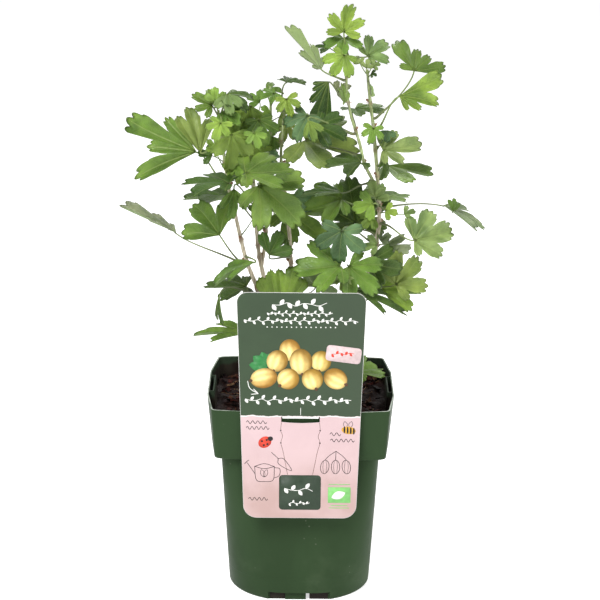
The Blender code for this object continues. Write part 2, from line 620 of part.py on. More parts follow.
def tube(path, radii, sides):
    """Points and faces of a closed round tube along a path, its rings turned as little as they can be."""
    path = [np.array(point, float) for point in path]
    across = None
    rings = []
    for index, point in enumerate(path):
        ahead = path[min(index + 1, len(path) - 1)]
        behind = path[max(index - 1, 0)]
        along = unit(ahead - behind)
        if across is None:
            across = np.cross(along, (0.0, 1.0, 0.0) if abs(along[1]) < 0.9 else (1.0, 0.0, 0.0))
        across = unit(across - along * (across @ along))
        other = np.cross(along, across)
        angles = np.arange(sides) * 2 * math.pi / sides
        ring = point + radii[index] * (np.cos(angles)[:, None] * across + np.sin(angles)[:, None] * other)
        rings.append(ring)
    return loft(rings, path[0], path[-1])


def stem_radii(count, foot_radius, tip_radius):
    return [foot_radius + (tip_radius - foot_radius) * step / (count - 1) for step in range(count)]


def make_cane(name):
    """A cane with its side shoots grown out of it as one solid."""
    places, foot_radius, tip_radius = CANES[name]
    path = [seen_at(place) for place in places]
    material = bark_material(name)
    cane = add_object(name, *tube(path, stem_radii(len(path), foot_radius, tip_radius), CANE_SIDES), material)
    for shoot, (parent, shoot_places, shoot_foot, shoot_tip) in SHOOTS.items():
        if parent == name:
            shoot_path = [seen_at(place) for place in shoot_places]
            radii = stem_radii(len(shoot_path), shoot_foot, shoot_tip)
            branch = add_object(shoot, *tube(shoot_path, radii, CANE_SIDES - 2), material)
            add_boolean(cane, branch, "UNION")
    return cane


def stem_at(stem, height):
    """Centre and radius of a cane or shoot at a height, read as its places are."""
    if stem in CANES:
        places, foot_radius, tip_radius = CANES[stem]
    else:
        _, places, foot_radius, tip_radius = SHOOTS[stem]
    heights = [place[1] for place in places]
    steps = np.arange(len(places))
    step = float(np.interp(height, heights, steps))
    place = [float(np.interp(step, steps, [point[axis] for point in places])) for axis in range(3)]
    radius = foot_radius + (tip_radius - foot_radius) * step / (len(places) - 1)
    return seen_at(place), radius


def leaf_axes(base, direction, turn, up):
    """Sideways, forward and upper-face directions of a blade whose midrib seems to point to direction."""
    sight = unit(EYE - base)
    face = np.array([
        math.sin(math.radians(turn)) * math.cos(math.radians(up)),
        -math.cos(math.radians(turn)) * math.cos(math.radians(up)),
        math.sin(math.radians(up)),
    ])
    across = np.array([math.cos(math.radians(direction)), 0.0, math.sin(math.radians(direction))])
    towards_eye = face @ sight
    if abs(towards_eye) < LEAST_OPEN:
        towards_eye = math.copysign(LEAST_OPEN, towards_eye)
    forward = across - sight * (face @ across) / towards_eye
    forward = unit(forward - face * (forward @ face))
    return np.cross(forward, face), forward, face


def outline_reach(angles, form):
    """How far a blade reaches at each angle from its midrib: the furthest of its rounded lobes."""
    notch, lobes = FORMS[form]
    half = abs(lobes[0][0] - lobes[1][0]) / 2
    reaches = []
    for centre, share in lobes:
        aside = np.abs((angles - centre) / half)
        reaches.append(share * (1 - notch * aside ** LOBE_BLUNTNESS))
    return np.maximum(np.max(reaches, axis=0), LEAST_REACH)


def blade_angles(form, shouldered):
    """Angles of a blade's outline points: lobe tips, the notches between them, and shoulders if wanted."""
    _, lobes = FORMS[form]
    half = abs(lobes[0][0] - lobes[1][0]) / 2
    angles = [lobes[0][0] - half]
    for centre, _ in lobes:
        if shouldered:
            angles += [centre - half / 2, centre, centre + half / 2, centre + half]
        else:
            angles += [centre, centre + half]
    return np.array(angles)


def bent(distance, length, bend):
    """Forward and downward run of a strip bent evenly by bend radians over length."""
    if abs(bend) < STRAIGHT:
        return distance, np.zeros_like(distance)
    curve = bend / length
    return np.sin(curve * distance) / curve, (1 - np.cos(curve * distance)) / curve


def blade_points(base, leaf):
    """Middle surface of a blade: rings of its outline about the base, folded, bent and set in place."""
    _, direction, length, turn, up, bend, form, _ = leaf
    sideways, forward, face = leaf_axes(base, direction, turn, up)
    angles = blade_angles(form, length > SHOULDER_LENGTH)
    reach = length * outline_reach(angles, form)
    shares = (0.5, 1.0) if length > TWO_RING_LENGTH else (1.0,)
    rows = []
    for share in shares:
        across = share * reach * np.sin(np.radians(angles))
        along = share * reach * np.cos(np.radians(angles))
        run_along, drop_along = bent(along, length, math.radians(bend))
        run_across, drop_across = bent(across, length, math.radians(SIDE_BEND))
        rise = np.abs(across) * math.tan(math.radians(FOLD)) - drop_along - drop_across
        rows.append(
            base + run_across[:, None] * sideways + run_along[:, None] * forward + rise[:, None] * face
        )
    return rows


def blade_mesh(base, leaf):
    """Points and faces of the middle surface, a fan from the base and bands between its rings."""
    rows = blade_points(base, leaf)
    count = len(rows[0])
    points = [tuple(base)] + [tuple(point) for row in rows for point in row]
    faces = [(0, 1 + step + 1, 1 + step) for step in range(count - 1)]
    for level in range(len(rows) - 1):
        low = 1 + level * count
        faces += [(low + step, low + step + 1, low + count + step + 1, low + count + step)
                  for step in range(count - 1)]
    return points, faces


def petiole_path(foot, base, leaf, steps=3):
    """Four points of a smooth curve from the foot on the stem to just inside the blade, along its midrib."""
    _, direction, _, turn, up, _, _, _ = leaf
    _, forward, face = leaf_axes(base, direction, turn, up)
    into, under = PETIOLE_INTO
    away, along, below = PETIOLE_PULLS
    level, rise = PETIOLE_RISE
    end = base + forward * into - face * under
    span = np.linalg.norm(end - foot)
    outward = unit((end - foot) * (1.0, 1.0, level) + (0.0, 0.0, rise * span))
    first = foot + outward * away * span
    second = end - forward * along * span - face * below * span
    path = []
    for step in range(steps + 1):
        share = step / steps
        rest = 1 - share
        path.append(rest ** 3 * foot + 3 * rest ** 2 * share * first + 3 * rest * share ** 2 * second
                    + share ** 3 * end)
    return path


def add_bud(name, centre, material):
    """A small faceted ball that the leaves of one spur grow from."""
    angles = np.arange(6) * math.pi / 3
    rings = []
    ring_height, radius = BUD_RING
    for height in (-ring_height, ring_height):
        ring = np.stack([
            centre[0] + BUD_RADIUS * radius * np.cos(angles),
            centre[1] + BUD_RADIUS * radius * np.sin(angles),
            np.full(6, centre[2] + BUD_RADIUS * height),
        ], axis=1)
        rings.append(ring)
    lift = np.array([0.0, 0.0, BUD_RADIUS])
    return add_object(name, *loft(rings, centre - lift, centre + lift), material)


def make_foliage(name, stem, height, leaves):
    """The leaves of one foot, each a blade joined to its petiole, as one solid."""
    centre, radius = stem_at(stem, height)
    bases = [seen_at(leaf[0]) for leaf in leaves]
    heading = np.mean(bases, axis=0) - centre
    heading = unit(heading * (1.0, 1.0, 0.0))
    several = len(leaves) > 1
    stand_off = radius + GAP + (BUD_RADIUS + BUD_GAP if several else 2 * PETIOLE_RADIUS)
    foot = centre + heading * stand_off
    material = leaf_material(name, leaves[0][-1])
    whole = None
    for number, (leaf, base) in enumerate(zip(leaves, bases), start=1):
        blade_name = name if number == 1 else f"{name}_blade_{number}"
        blade = add_object(blade_name, *blade_mesh(base, leaf), material)
        thickness = blade.modifiers.new("thickness", "SOLIDIFY")
        thickness.thickness = BLADE_THICKNESS * MM
        thickness.offset = 0.0
        path = petiole_path(foot, base, leaf)
        radii = [PETIOLE_RADIUS * PETIOLE_FOOT] + [PETIOLE_RADIUS] * (len(path) - 1)
        petiole = add_object(f"{name}_petiole_{number}", *tube(path, radii, PETIOLE_SIDES), material)
        if whole is None:
            whole = blade
        else:
            add_boolean(whole, blade, "UNION")
        add_boolean(whole, petiole, "UNION")
    if several:
        add_boolean(whole, add_bud(f"{name}_bud", foot, material), "UNION")
    return whole


def main():
    clear_scene()
    make_pot()
    make_soil()
    make_label_card()
    for name in CANES:
        make_cane(name)
    for name, stem, height, leaves in FOLIAGE:
        make_foliage(name, stem, height, leaves)


main()
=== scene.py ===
import math

import bpy
import numpy as np
from mathutils import Matrix, Vector


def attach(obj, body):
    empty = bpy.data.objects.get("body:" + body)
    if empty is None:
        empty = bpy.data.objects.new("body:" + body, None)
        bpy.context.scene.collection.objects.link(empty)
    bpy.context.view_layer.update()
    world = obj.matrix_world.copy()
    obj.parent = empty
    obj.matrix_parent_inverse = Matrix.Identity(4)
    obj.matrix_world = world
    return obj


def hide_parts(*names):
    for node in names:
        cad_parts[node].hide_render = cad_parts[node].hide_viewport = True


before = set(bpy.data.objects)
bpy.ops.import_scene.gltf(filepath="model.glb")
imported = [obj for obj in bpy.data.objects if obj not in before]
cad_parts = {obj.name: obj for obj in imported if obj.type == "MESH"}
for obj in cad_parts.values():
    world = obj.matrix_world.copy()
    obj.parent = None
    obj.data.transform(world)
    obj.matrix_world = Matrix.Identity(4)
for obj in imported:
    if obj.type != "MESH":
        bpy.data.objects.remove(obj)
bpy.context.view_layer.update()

mm = 0.001
quarterTurns = ((1, 0), (0, 1), (-1, 0), (0, -1))  # cosine and sine of 0, 90, 180 and 270 degrees

# The pot stands on z = 0 with its middle at the origin, +Z up and -Y to the front. Lengths are in millimetres
# until a mesh is made.


def unit(vectors):  # each vector divided by its own length
    return vectors / np.maximum(np.linalg.norm(vectors, axis=-1, keepdims=True), 1e-9)


def smoothStep(values):  # 3t^2 - 2t^3 of each value held between 0 and 1
    t = np.clip(values, 0.0, 1.0)
    return t * t * (3 - 2 * t)


def latticeNoise(x, y, cell, seed):
    # a random height at each corner of a square lattice, blended smoothly across each cell, from -1 to 1
    heights = np.random.default_rng(seed).uniform(-1, 1, (257, 257))
    column, row = x / cell + 128.37, y / cell + 128.71
    i, j = np.floor(column).astype(int) % 256, np.floor(row).astype(int) % 256
    u, v = smoothStep(column - np.floor(column)), smoothStep(row - np.floor(row))
    low = heights[i, j] * (1 - u) + heights[i + 1, j] * u
    high = heights[i, j + 1] * (1 - u) + heights[i + 1, j + 1] * u
    return low * (1 - v) + high * v


def part(points, faces, colour=(1, 1, 1), uv=None, slot=0):
    # one closed shape: its points, its faces as arrays of equal length, a colour and a uv pair for each point
    points = np.asarray(points, float).reshape(-1, 3)
    colour = np.broadcast_to(np.asarray(colour, float), (len(points), 3))
    uv = np.zeros((len(points), 2)) if uv is None else np.asarray(uv, float).reshape(-1, 2)
    slots = [np.full(len(group), slot) if np.isscalar(slot) else np.asarray(slot[k]) for k, group in enumerate(faces)]
    return {"points": points, "faces": [np.asarray(group, int) for group in faces], "colour": colour, "uv": uv,
            "slots": slots}


def placed(name, data):  # a new object in the scene that holds the data
    holder = bpy.data.objects.new(name, data)
    bpy.context.scene.collection.objects.link(holder)
    return holder


def addPiece(name, parts, materials, replaced=(), smooth=True, sharp=50):
    # joins parts into one mesh in metres, which rides on the pot's body
    corners, starts, slots, shift, place = [], [], [], 0, 0
    for shape in parts:
        for group, groupSlots in zip(shape["faces"], shape["slots"]):
            if len(group):
                corners.append((group + shift).ravel())
                starts.append(place + np.arange(len(group)) * group.shape[1])
                slots.append(groupSlots)
                place += group.size
        shift += len(shape["points"])
    points, colour, uv = (np.concatenate([shape[key] for shape in parts]) for key in ("points", "colour", "uv"))
    corners, starts, slots = (np.concatenate(rows) for rows in (corners, starts, slots))
    mesh = bpy.data.meshes.new(name)
    mesh.vertices.add(len(points))
    mesh.vertices.foreach_set("co", (points * mm).ravel())
    mesh.loops.add(len(corners))
    mesh.loops.foreach_set("vertex_index", corners.astype(np.int32))
    mesh.polygons.add(len(starts))
    mesh.polygons.foreach_set("loop_start", starts.astype(np.int32))
    for material in materials:
        mesh.materials.append(material)
    mesh.polygons.foreach_set("material_index", slots.astype(np.int32))
    mesh.update(calc_edges=True)
    tint = mesh.color_attributes.new("tint", "FLOAT_COLOR", "POINT")
    tint.data.foreach_set("color", np.column_stack([colour, np.ones(len(colour))]).ravel())
    mesh.uv_layers.new(name="across").data.foreach_set("uv", uv[corners].ravel())
    if smooth:
        mesh.shade_smooth()
        mesh.set_sharp_from_angle(angle=math.radians(sharp))
    piece = placed(name, mesh)
    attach(piece, "root")
    if replaced:
        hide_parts(*replaced)
    return piece


def ringFaces(rings, count):
    # quads between neighbouring rings of count points each, running outwards when the rings turn anticlockwise
    step, level = np.meshgrid(np.arange(count), np.arange(rings - 1))
    a, b = level * count + step, level * count + (step + 1) % count
    return np.stack([a, b, b + count, a + count], axis=-1).reshape(-1, 4)


def capped(rings, count):
    # the quads of a loft and the triangles that close its two ends on the two points listed after its rings
    step = np.arange(count)
    ahead = (step + 1) % count
    foot, top = rings * count, (rings - 1) * count
    low = np.stack([np.full(count, foot), ahead, step], axis=-1)
    high = np.stack([top + step, top + ahead, np.full(count, foot + 1)], axis=-1)
    return [ringFaces(rings, count), np.concatenate([low, high])]


def splinePath(places, steps):
    # a curve through all places: at each span a cubic whose end slopes are half the chord of the two neighbours
    places = np.asarray(places, float)
    ends = np.concatenate([[2 * places[0] - places[1]], places, [2 * places[-1] - places[-2]]])
    at = np.linspace(0, len(places) - 1 - 1e-6, steps)
    span = at.astype(int)
    t = (at - span)[:, None]
    before, start, end, after = ends[span], ends[span + 1], ends[span + 2], ends[span + 3]
    return 0.5 * (2 * start + (end - before) * t + (2 * before - 5 * start + 4 * end - after) * t ** 2
                  + (3 * start - before - 3 * end + after) * t ** 3)


def tubePart(path, radii, sides, colour=(1, 1, 1), slot=0):
    # a circle carried along a path, square to it, and closed at both ends; uv is the turn and the length in mm
    path = np.asarray(path, float)
    radii = np.broadcast_to(np.asarray(radii, float), (len(path),))
    along = unit(np.gradient(path, axis=0))
    guide = np.eye(3)[np.argmin(np.abs(along).max(axis=0))]
    across = unit(np.cross(along, guide))
    turn = np.arange(sides) * 2 * np.pi / sides
    ring = np.cos(turn)[:, None] * across[:, None] + np.sin(turn)[:, None] * np.cross(along, across)[:, None]
    points = path[:, None] + ring * radii[:, None, None]
    run = np.concatenate([[0], np.cumsum(np.linalg.norm(np.diff(path, axis=0), axis=1))])
    uv = np.stack(np.broadcast_arrays(np.abs(turn / np.pi - 1)[None], run[:, None]), axis=-1)
    points = np.concatenate([points.reshape(-1, 3), path[:1], path[-1:]])
    uv = np.concatenate([uv.reshape(-1, 2), [[0.5, 0], [0.5, run[-1]]]])
    colour = np.asarray(colour, float)
    if colour.ndim == 2:
        colour = np.concatenate([np.repeat(colour, sides, axis=0), colour[:1], colour[-1:]])
    return part(points, capped(len(path), sides), colour, uv, slot)


# for materials a value is a socket or a number, and a colour is a socket or three numbers

def firstSocket(*values):
    return next(value for value in values if isinstance(value, bpy.types.NodeSocket))


def node(tree, kind, inputs=None, **settings):
    made = tree.nodes.new("ShaderNode" + kind)
    for key, value in settings.items():
        setattr(made, key, value)
    for key, value in (inputs or {}).items():
        if isinstance(value, bpy.types.NodeSocket):
            tree.links.new(value, made.inputs[key])
        else:
            made.inputs[key].default_value = value
    return made


def calc(operation, *values):
    tree = firstSocket(*values).id_data
    return node(tree, "Math", dict(enumerate(values)), operation=operation).outputs[0]


def times(a, b):
    return calc("MULTIPLY", a, b)


def plus(a, b):
    return calc("ADD", a, b)


def between(value, low, high, start=0.0, end=1.0):
    # a smooth passage from start to end while value goes from low to high
    return node(value.id_data, "MapRange", {0: value, 1: low, 2: high, 3: start, 4: end},
                interpolation_type="SMOOTHSTEP").outputs[0]


def mixed(share, a, b, how="MIX"):
    pair = [value if isinstance(value, bpy.types.NodeSocket) else (*value, 1.0) for value in (a, b)]
    tree = firstSocket(share, a, b).id_data
    return node(tree, "Mix", {0: share, 6: pair[0], 7: pair[1]}, data_type="RGBA", blend_type=how).outputs[2]


def passage(value, low, high, a, b):  # from colour a to colour b while value goes from low to high
    return mixed(between(value, low, high), a, b)


def tintOf(where):  # the mesh's own tint
    return node(where.id_data, "Attribute", attribute_name="tint").outputs[0]


def tintedBy(where, colour):  # the colour times the mesh's own tint
    return mixed(1.0, tintOf(where), colour, "MULTIPLY")


def axesOf(where):  # x, y and z of a place
    return node(where.id_data, "SeparateXYZ", {0: where}).outputs


def noise(where, scale, detail=3.0, rough=0.55):
    inputs = {"Vector": where, "Scale": scale, "Detail": detail, "Roughness": rough}
    return node(where.id_data, "TexNoise", inputs).outputs[0]


def stretched(where, scale):  # the place with each axis scaled by itself
    return node(where.id_data, "Mapping", {"Vector": where, "Scale": scale}).outputs[0]


def cells(where, scale, feature):
    return node(where.id_data, "TexVoronoi", {"Vector": where, "Scale": scale}, feature=feature).outputs[0]


def newMaterial(name, roughness=0.5, specular=0.5):
    # a material, its shader and the place in the object's own frame
    material = bpy.data.materials.new(name)
    material.use_nodes = True
    tree = material.node_tree
    shader = tree.nodes["Principled BSDF"]
    shader.inputs["Roughness"].default_value = roughness
    shader.inputs["Specular IOR Level"].default_value = specular
    return material, shader, node(tree, "TexCoord").outputs["Object"]


def wire(shader, colour, roughness=None, height=None, strength=0.3, depth=0.0005):
    links = shader.id_data.links
    links.new(colour, shader.inputs["Base Color"])
    if roughness is not None:
        links.new(roughness, shader.inputs["Roughness"])
    if height is not None:
        bump = node(shader.id_data, "Bump", {"Height": height, "Strength": strength, "Distance": depth})
        links.new(bump.outputs[0], shader.inputs["Normal"])


stageLook = {"floorColour": (0.86, 0.86, 0.86), "floorShade": (0.8471, 0.8471, 0.8471), "floorHalf": 12.0,
             "floorGlow": 0.62, "skyStrength": 0.42, "aim": (0.0, 0.0, 0.25), "lens": 121.68, "sensor": 36.0,
             "place": (-0.0013, -1.67254, 0.72899), "lookDown": 15.9, "roll": 0.5,
             # place, width and power of each lamp
             "lamps": {"keyLamp": ((-0.9, -1.5, 1.9), 1.1, 54.0), "fillLamp": ((1.7, -0.5, 0.9), 1.2, 13.0),
                       "backLamp": ((0.4, 1.3, 1.6), 1.0, 18.0)}}


def makeStage():
    half = stageLook["floorHalf"]
    mesh = bpy.data.meshes.new("floor")
    mesh.from_pydata([(-half, -half, 0), (half, -half, 0), (half, half, 0), (-half, half, 0)], [], [(0, 1, 2, 3)])
    material, shader, where = newMaterial("paleFloor", 0.9, 0.1)
    wire(shader, mixed(between(noise(where, 3.0, 2.0), 0.3, 0.7, 0.0, 0.4), stageLook["floorColour"],
                       stageLook["floorShade"]))
    shader.inputs["Emission Color"].default_value = (1.0, 1.0, 1.0, 1.0)
    shader.inputs["Emission Strength"].default_value = stageLook["floorGlow"]
    mesh.materials.append(material)
    placed("floor", mesh)


def makeLightAndCamera():
    world = bpy.data.worlds.new("studio")
    bpy.context.scene.world = world
    world.use_nodes = True
    background = world.node_tree.nodes["Background"]
    background.inputs["Color"].default_value = (1.0, 1.0, 1.0, 1.0)
    background.inputs["Strength"].default_value = stageLook["skyStrength"]
    for name, (place, width, power) in stageLook["lamps"].items():
        lamp = bpy.data.lights.new(name, "AREA")
        lamp.shape, lamp.size, lamp.energy = "DISK", width, power
        holder = placed(name, lamp)
        holder.location = place
        holder.rotation_euler = (Vector(stageLook["aim"]) - Vector(place)).to_track_quat("-Z", "Y").to_euler()
    camera = bpy.data.cameras.new("camera")
    camera.sensor_width, camera.lens = stageLook["sensor"], stageLook["lens"]
    holder = placed("camera", camera)
    holder.location = stageLook["place"]
    tilt = Matrix.Rotation(math.radians(90 - stageLook["lookDown"]), 4, "X")
    holder.rotation_euler = (tilt @ Matrix.Rotation(math.radians(stageLook["roll"]), 4, "Z")).to_euler()
    bpy.context.scene.camera = holder
    bpy.context.scene.view_settings.view_transform = "Standard"


makeStage()
makeLightAndCamera()
print("stage, light and camera made")


pot = {"rimZ": 178.0, "collarZ": 133.5, "wall": 1.2, "rimHalf": 75.0, "rimBulge": 4.8, "collarHalf": 72.2,
       "collarBulge": 3.4, "collarCorner": 5.0, "topHalf": 67.0, "topCorner": 14.0, "baseHalf": 61.4,
       "baseCorner": 55.0, "floorUnder": 8.0, "floorTop": 9.6, "footWidth": 2.2, "chamfer": 0.7,
       "notch": (-2, 7.5, -26.5, 26.5, (56.5, 66), (56.5, 66)), "holeRadius": 3.5, "holeReach": 38,
       "pocketWidth": 44.0, "pocketGap": 3.0, "lineZ": 20.5, "sharp": 32, "edge": 0.25,
       # start, end, reach and material of the foot bars, from an inner reach; the bars reach a few millimetres further
       # out than the real ones, a dark strip that stands in for painted shadow on the floor inside each notch
       "barInner": 44, "bars": ((-25.0, -11.5, 56.8, 2), (-12.0, 6.0, 58.0, 0), (9.0, 25.0, 56.8, 2)),
       "green": (0.026, 0.048, 0.021), "scuff": (0.090, 0.125, 0.072), "fleck": (0.20, 0.21, 0.16),
       # inside and the two earth stains are painted shade in the pot's dim inside, the earth partly a real soil stain
       "inside": (0.022, 0.036, 0.020), "earthStainAndShade": (0.012, 0.007, 0.005), "dryEarthStainAndShade": (0.022, 0.018, 0.012),
       # rim and worn rim paint the lip far paler than the plastic below as a painted highlight, with some real wear
       "rim": (0.14, 0.19, 0.13), "wornRimHighlight": (0.42, 0.46, 0.40)}
halfSide = np.linspace(0, np.pi / 2, 30, endpoint=False)
sideTurns = np.concatenate([-45 * np.cos(halfSide), 45 * np.sin(halfSide)])  # degrees, closer at the corners


def squareRing(height, half, corner, bulge=0.0):
    # a square with round corners: along each ray from the middle the reach is the straight side's or the corner
    # arc's, and the middle two fifths of each side stand out by bulge
    turn = np.radians(sideTurns)
    flat = half - corner
    along, out = np.sin(turn), np.cos(turn)
    middle = flat * (np.abs(along) + out)
    arc = middle + np.sqrt(np.maximum(corner ** 2 - 2 * flat ** 2 + middle ** 2, 0.0))
    reach = np.where(np.abs(along) * half > flat * out, arc, half / out)
    swell = bulge * np.clip((0.93 - np.abs(reach * along) / half) / 0.5, 0.0, 1.0)
    quarter = np.stack([reach * out + swell, reach * along, np.full_like(reach, height)], axis=1)
    return np.concatenate([quarter @ sideTurn(side) for side in range(4)])


def sideTurn(side):  # turns a row of points on the right side to side 0, 1, 2 or 3
    c, s = quarterTurns[side]
    return np.array([[c, s, 0], [-s, c, 0], [0, 0, 1]])


def bodyRing(height, inset=0.0, shapeHeight=None):
    # half width and corner radius run from the base's to the top's, the width evenly and the radius a little sooner
    share = (height if shapeHeight is None else shapeHeight) / pot["collarZ"]
    half = pot["baseHalf"] + (pot["topHalf"] - pot["baseHalf"]) * share
    corner = pot["baseCorner"] + (pot["topCorner"] - pot["baseCorner"]) * share ** 0.85
    return squareRing(height, half - inset, max(corner - inset, 1.0))


def collarShape(height):  # half width and bulge of the collar at a height
    share = (height - pot["collarZ"]) / (pot["rimZ"] - pot["collarZ"])
    return (pot["collarHalf"] + (pot["rimHalf"] - pot["collarHalf"]) * share,
            pot["collarBulge"] + (pot["rimBulge"] - pot["collarBulge"]) * share)


def collarRing(height, inset=0.0):
    half, bulge = collarShape(height)
    return squareRing(height, half - inset, pot["collarCorner"], bulge)


def collarOut(height):  # how far out the middle of a collar side stands
    return sum(collarShape(height))


def sideBlock(low, high, start, end, outLow, outHigh, side, slot=0):
    # a block on one side of the pot, from start to end along that side, between two distances out at each height
    corners = []
    for height, (inner, outer) in ((low, outLow), (high, outHigh)):
        corners += [(inner, start, height), (outer, start, height), (outer, end, height), (inner, end, height)]
    faces = [[(0, 3, 2, 1), (4, 5, 6, 7), (0, 1, 5, 4), (1, 2, 6, 5), (2, 3, 7, 6), (3, 0, 4, 7)]]
    return part(np.array(corners) @ sideTurn(side), faces, slot=slot)


def potMaterial():
    material, shader, where = newMaterial("greenPotPlastic", 0.45, 0.04)
    height = axesOf(where)[2]
    flow = noise(stretched(where, (26, 26, 9)), 1.0)
    cloud, grain = noise(where, 22.0, 4.0), noise(where, 900.0, 2.0)
    colour = passage(flow, 0.35, 0.70, pot["green"], [c * 1.14 for c in pot["green"]])
    colour = mixed(times(between(cloud, 0.50, 0.78), between(height, 0.075, 0.0, 0, 0.34)), colour, pot["scuff"])
    fleck = times(between(cells(where, 160.0, "F1"), 0.16, 0.05), between(cloud, 0.55, 0.62))
    colour = mixed(times(fleck, 0.35), colour, pot["fleck"])
    rough = plus(between(cloud, 0.3, 0.75, 0.36, 0.52), times(grain, 0.08))
    ring = between(calc("ABSOLUTE", calc("SUBTRACT", height, pot["lineZ"] * mm)), 0.0007, 0.0002)
    wire(shader, colour, rough, plus(times(grain, 0.12), times(ring, 0.8)), 0.25, 0.0004)
    return material


# the inside wall is painted darker than the outside as painted shade, since little light reaches into the pot; below a
# wavy line just under the lip it turns to a near-black earth stain, partly real soil and partly painted shade
def shadedInsideMaterial():
    material, shader, where = newMaterial("shadedPotInside", 0.6, 0.15)
    stain = noise(stretched(where, (60, 60, 24)), 1.0, 4.0)
    level = axesOf(where)[2]
    bare = between(calc("MULTIPLY_ADD", stain, 0.012, level), 0.1765, 0.1800)
    earthStainAndShade = passage(stain, 0.40, 0.62, pot["earthStainAndShade"], pot["dryEarthStainAndShade"])
    wire(shader, mixed(bare, earthStainAndShade, pot["inside"]), between(stain, 0.3, 0.7, 0.45, 0.75), stain, 0.3, 0.0004)
    return material


# the lip is a painted highlight where light catches its top and edges, with paler patches that are partly wear and
# partly painted highlight
def rimHighlightMaterial():
    material, shader, where = newMaterial("rimPlasticHighlightAndWear", 0.38, 0.6)
    wearAndHighlight = noise(where, 70.0, 4.0)
    wire(shader, passage(wearAndHighlight, 0.35, 0.65, pot["rim"], pot["wornRimHighlight"]), between(wearAndHighlight, 0.3, 0.7, 0.3, 0.5), wearAndHighlight,
         0.2, 0.0003)
    return material


def potShell():
    # rings up the outside, over the lip and down the inside
    wall, chamfer, foot = pot["wall"], pot["chamfer"], pot["footWidth"]
    collarZ, rimZ = pot["collarZ"], pot["rimZ"]
    outside = [bodyRing(pot["floorUnder"], chamfer + foot, 0), bodyRing(0.3, chamfer + foot, 0),
               bodyRing(0.0, chamfer + foot - 0.3, 0), bodyRing(0.0, chamfer, 0), bodyRing(0.4, 0.25, 0)]
    outside += [bodyRing(level) for level in (1.2, 4, 8, 14, 20, 28, 38, 50, 64, 80, 96, 112, 124, collarZ - 0.6)]
    outside += [bodyRing(collarZ, -0.6)]
    outside += [collarRing(collarZ + up, inset) for up, inset in ((0, 2.4), (0.15, 1.2), (0.7, 0.35), (1.7, 0))]
    outside += [collarRing(level) for level in (140, 148, 156, 164, 172, rimZ - 0.5)]
    lip = [collarRing(rimZ - down, inset)
           for down, inset in ((0.12, 0.12), (0, 0.4), (0, wall - 0.35), (0.15, wall - 0.08), (0.6, wall))]
    inside = [collarRing(level, wall) for level in (170, 158, 146, collarZ + wall + 0.4)]
    inside += [collarRing(collarZ + wall, wall + 0.6), bodyRing(collarZ + wall - 0.1, wall - 0.4)]
    inside += [bodyRing(level, wall) for level in (collarZ - 0.8, 105, 75, 45, 20, pot["floorTop"])]
    rings, count = outside + lip + inside, len(lip[0])
    points = np.concatenate(rings + [[(0, 0, pot["floorUnder"])], [(0, 0, pot["floorTop"])]])
    slots = np.repeat((0, 1, 2), count * np.array((len(outside), len(lip) - 1, len(inside))))
    return part(points, capped(len(rings), count), slot=[slots, np.zeros(2 * count, int)])


def potCuts():
    # the notches in the foot ring and the drain holes
    cuts = [sideBlock(*pot["notch"], side) for side in (1, 3)]
    turn = np.radians(np.arange(0, 360, 15))
    radius, middle = pot["holeRadius"], 0.5 * (pot["floorUnder"] + pot["floorTop"])
    for place in np.radians(np.arange(0, 360, 45)):
        x, y = pot["holeReach"] * math.cos(place), pot["holeReach"] * math.sin(place)
        ring = np.stack([x + radius * np.cos(turn), y + radius * np.sin(turn), 0 * turn], axis=1)
        low, high = middle - 3, middle + 3
        hole = np.concatenate([ring + (0, 0, low), ring + (0, 0, high), [(x, y, low)], [(x, y, high)]])
        cuts.append(part(hole, capped(2, len(turn))))
    return cuts


def pocketsAndBars():
    # a partition and two short ends behind each side of the collar, and the low bars in the foot's notches; the
    # partitions, their ends and the two outer bars take the inside's painted shade
    wall, gap, half = pot["wall"], pot["pocketGap"], pot["pocketWidth"] / 2
    low, high = pot["collarZ"] + 0.4, pot["rimZ"] - 0.7
    at = [collarOut(level) - wall - gap for level in (low, high)]
    blocks = []
    for side in range(4):
        blocks.append(sideBlock(low, high, -half, half, *[(out - wall, out) for out in at], side, 2))
        for start in (-half, half - wall):
            blocks.append(sideBlock(low, high, start, start + wall, *[(out - 0.2, out + gap + 0.3) for out in at],
                                    side, 2))
        if side in (1, 3):
            flip = 1 if side == 3 else -1
            for start, end, out, slot in pot["bars"]:
                reach = (pot["barInner"], out)
                blocks.append(sideBlock(0.15, pot["floorUnder"] + 0.3, *sorted((flip * start, flip * end)), reach,
                                        reach, side, slot))
    return blocks


def makePot():
    materials = [potMaterial(), rimHighlightMaterial(), shadedInsideMaterial()]
    body = addPiece("pot_moulding", [potShell()], materials, ["pot"], sharp=pot["sharp"])
    cutByShape(body, addPiece("pot_cuts", potCuts(), materials, smooth=False))
    blocks = addPiece("pot_pockets_and_bars", pocketsAndBars(), materials, smooth=False)
    bevel = blocks.modifiers.new("softEdges", "BEVEL")
    bevel.width, bevel.segments = pot["edge"] * mm, 2


def cutByShape(piece, cutter):
    # takes the cutter's volume out of the piece for good, then deletes the cutter
    cut = piece.modifiers.new("cut", "BOOLEAN")
    cut.operation, cut.solver, cut.object = "DIFFERENCE", "EXACT", cutter
    bpy.context.view_layer.update()
    evaluated = piece.evaluated_get(bpy.context.evaluated_depsgraph_get())
    mesh = bpy.data.meshes.new_from_object(evaluated)
    piece.modifiers.clear()
    piece.data = mesh
    bpy.data.objects.remove(cutter, do_unlink=True)
    mesh.shade_smooth()
    mesh.set_sharp_from_angle(angle=math.radians(pot["sharp"]))


makePot()
print("pot made")


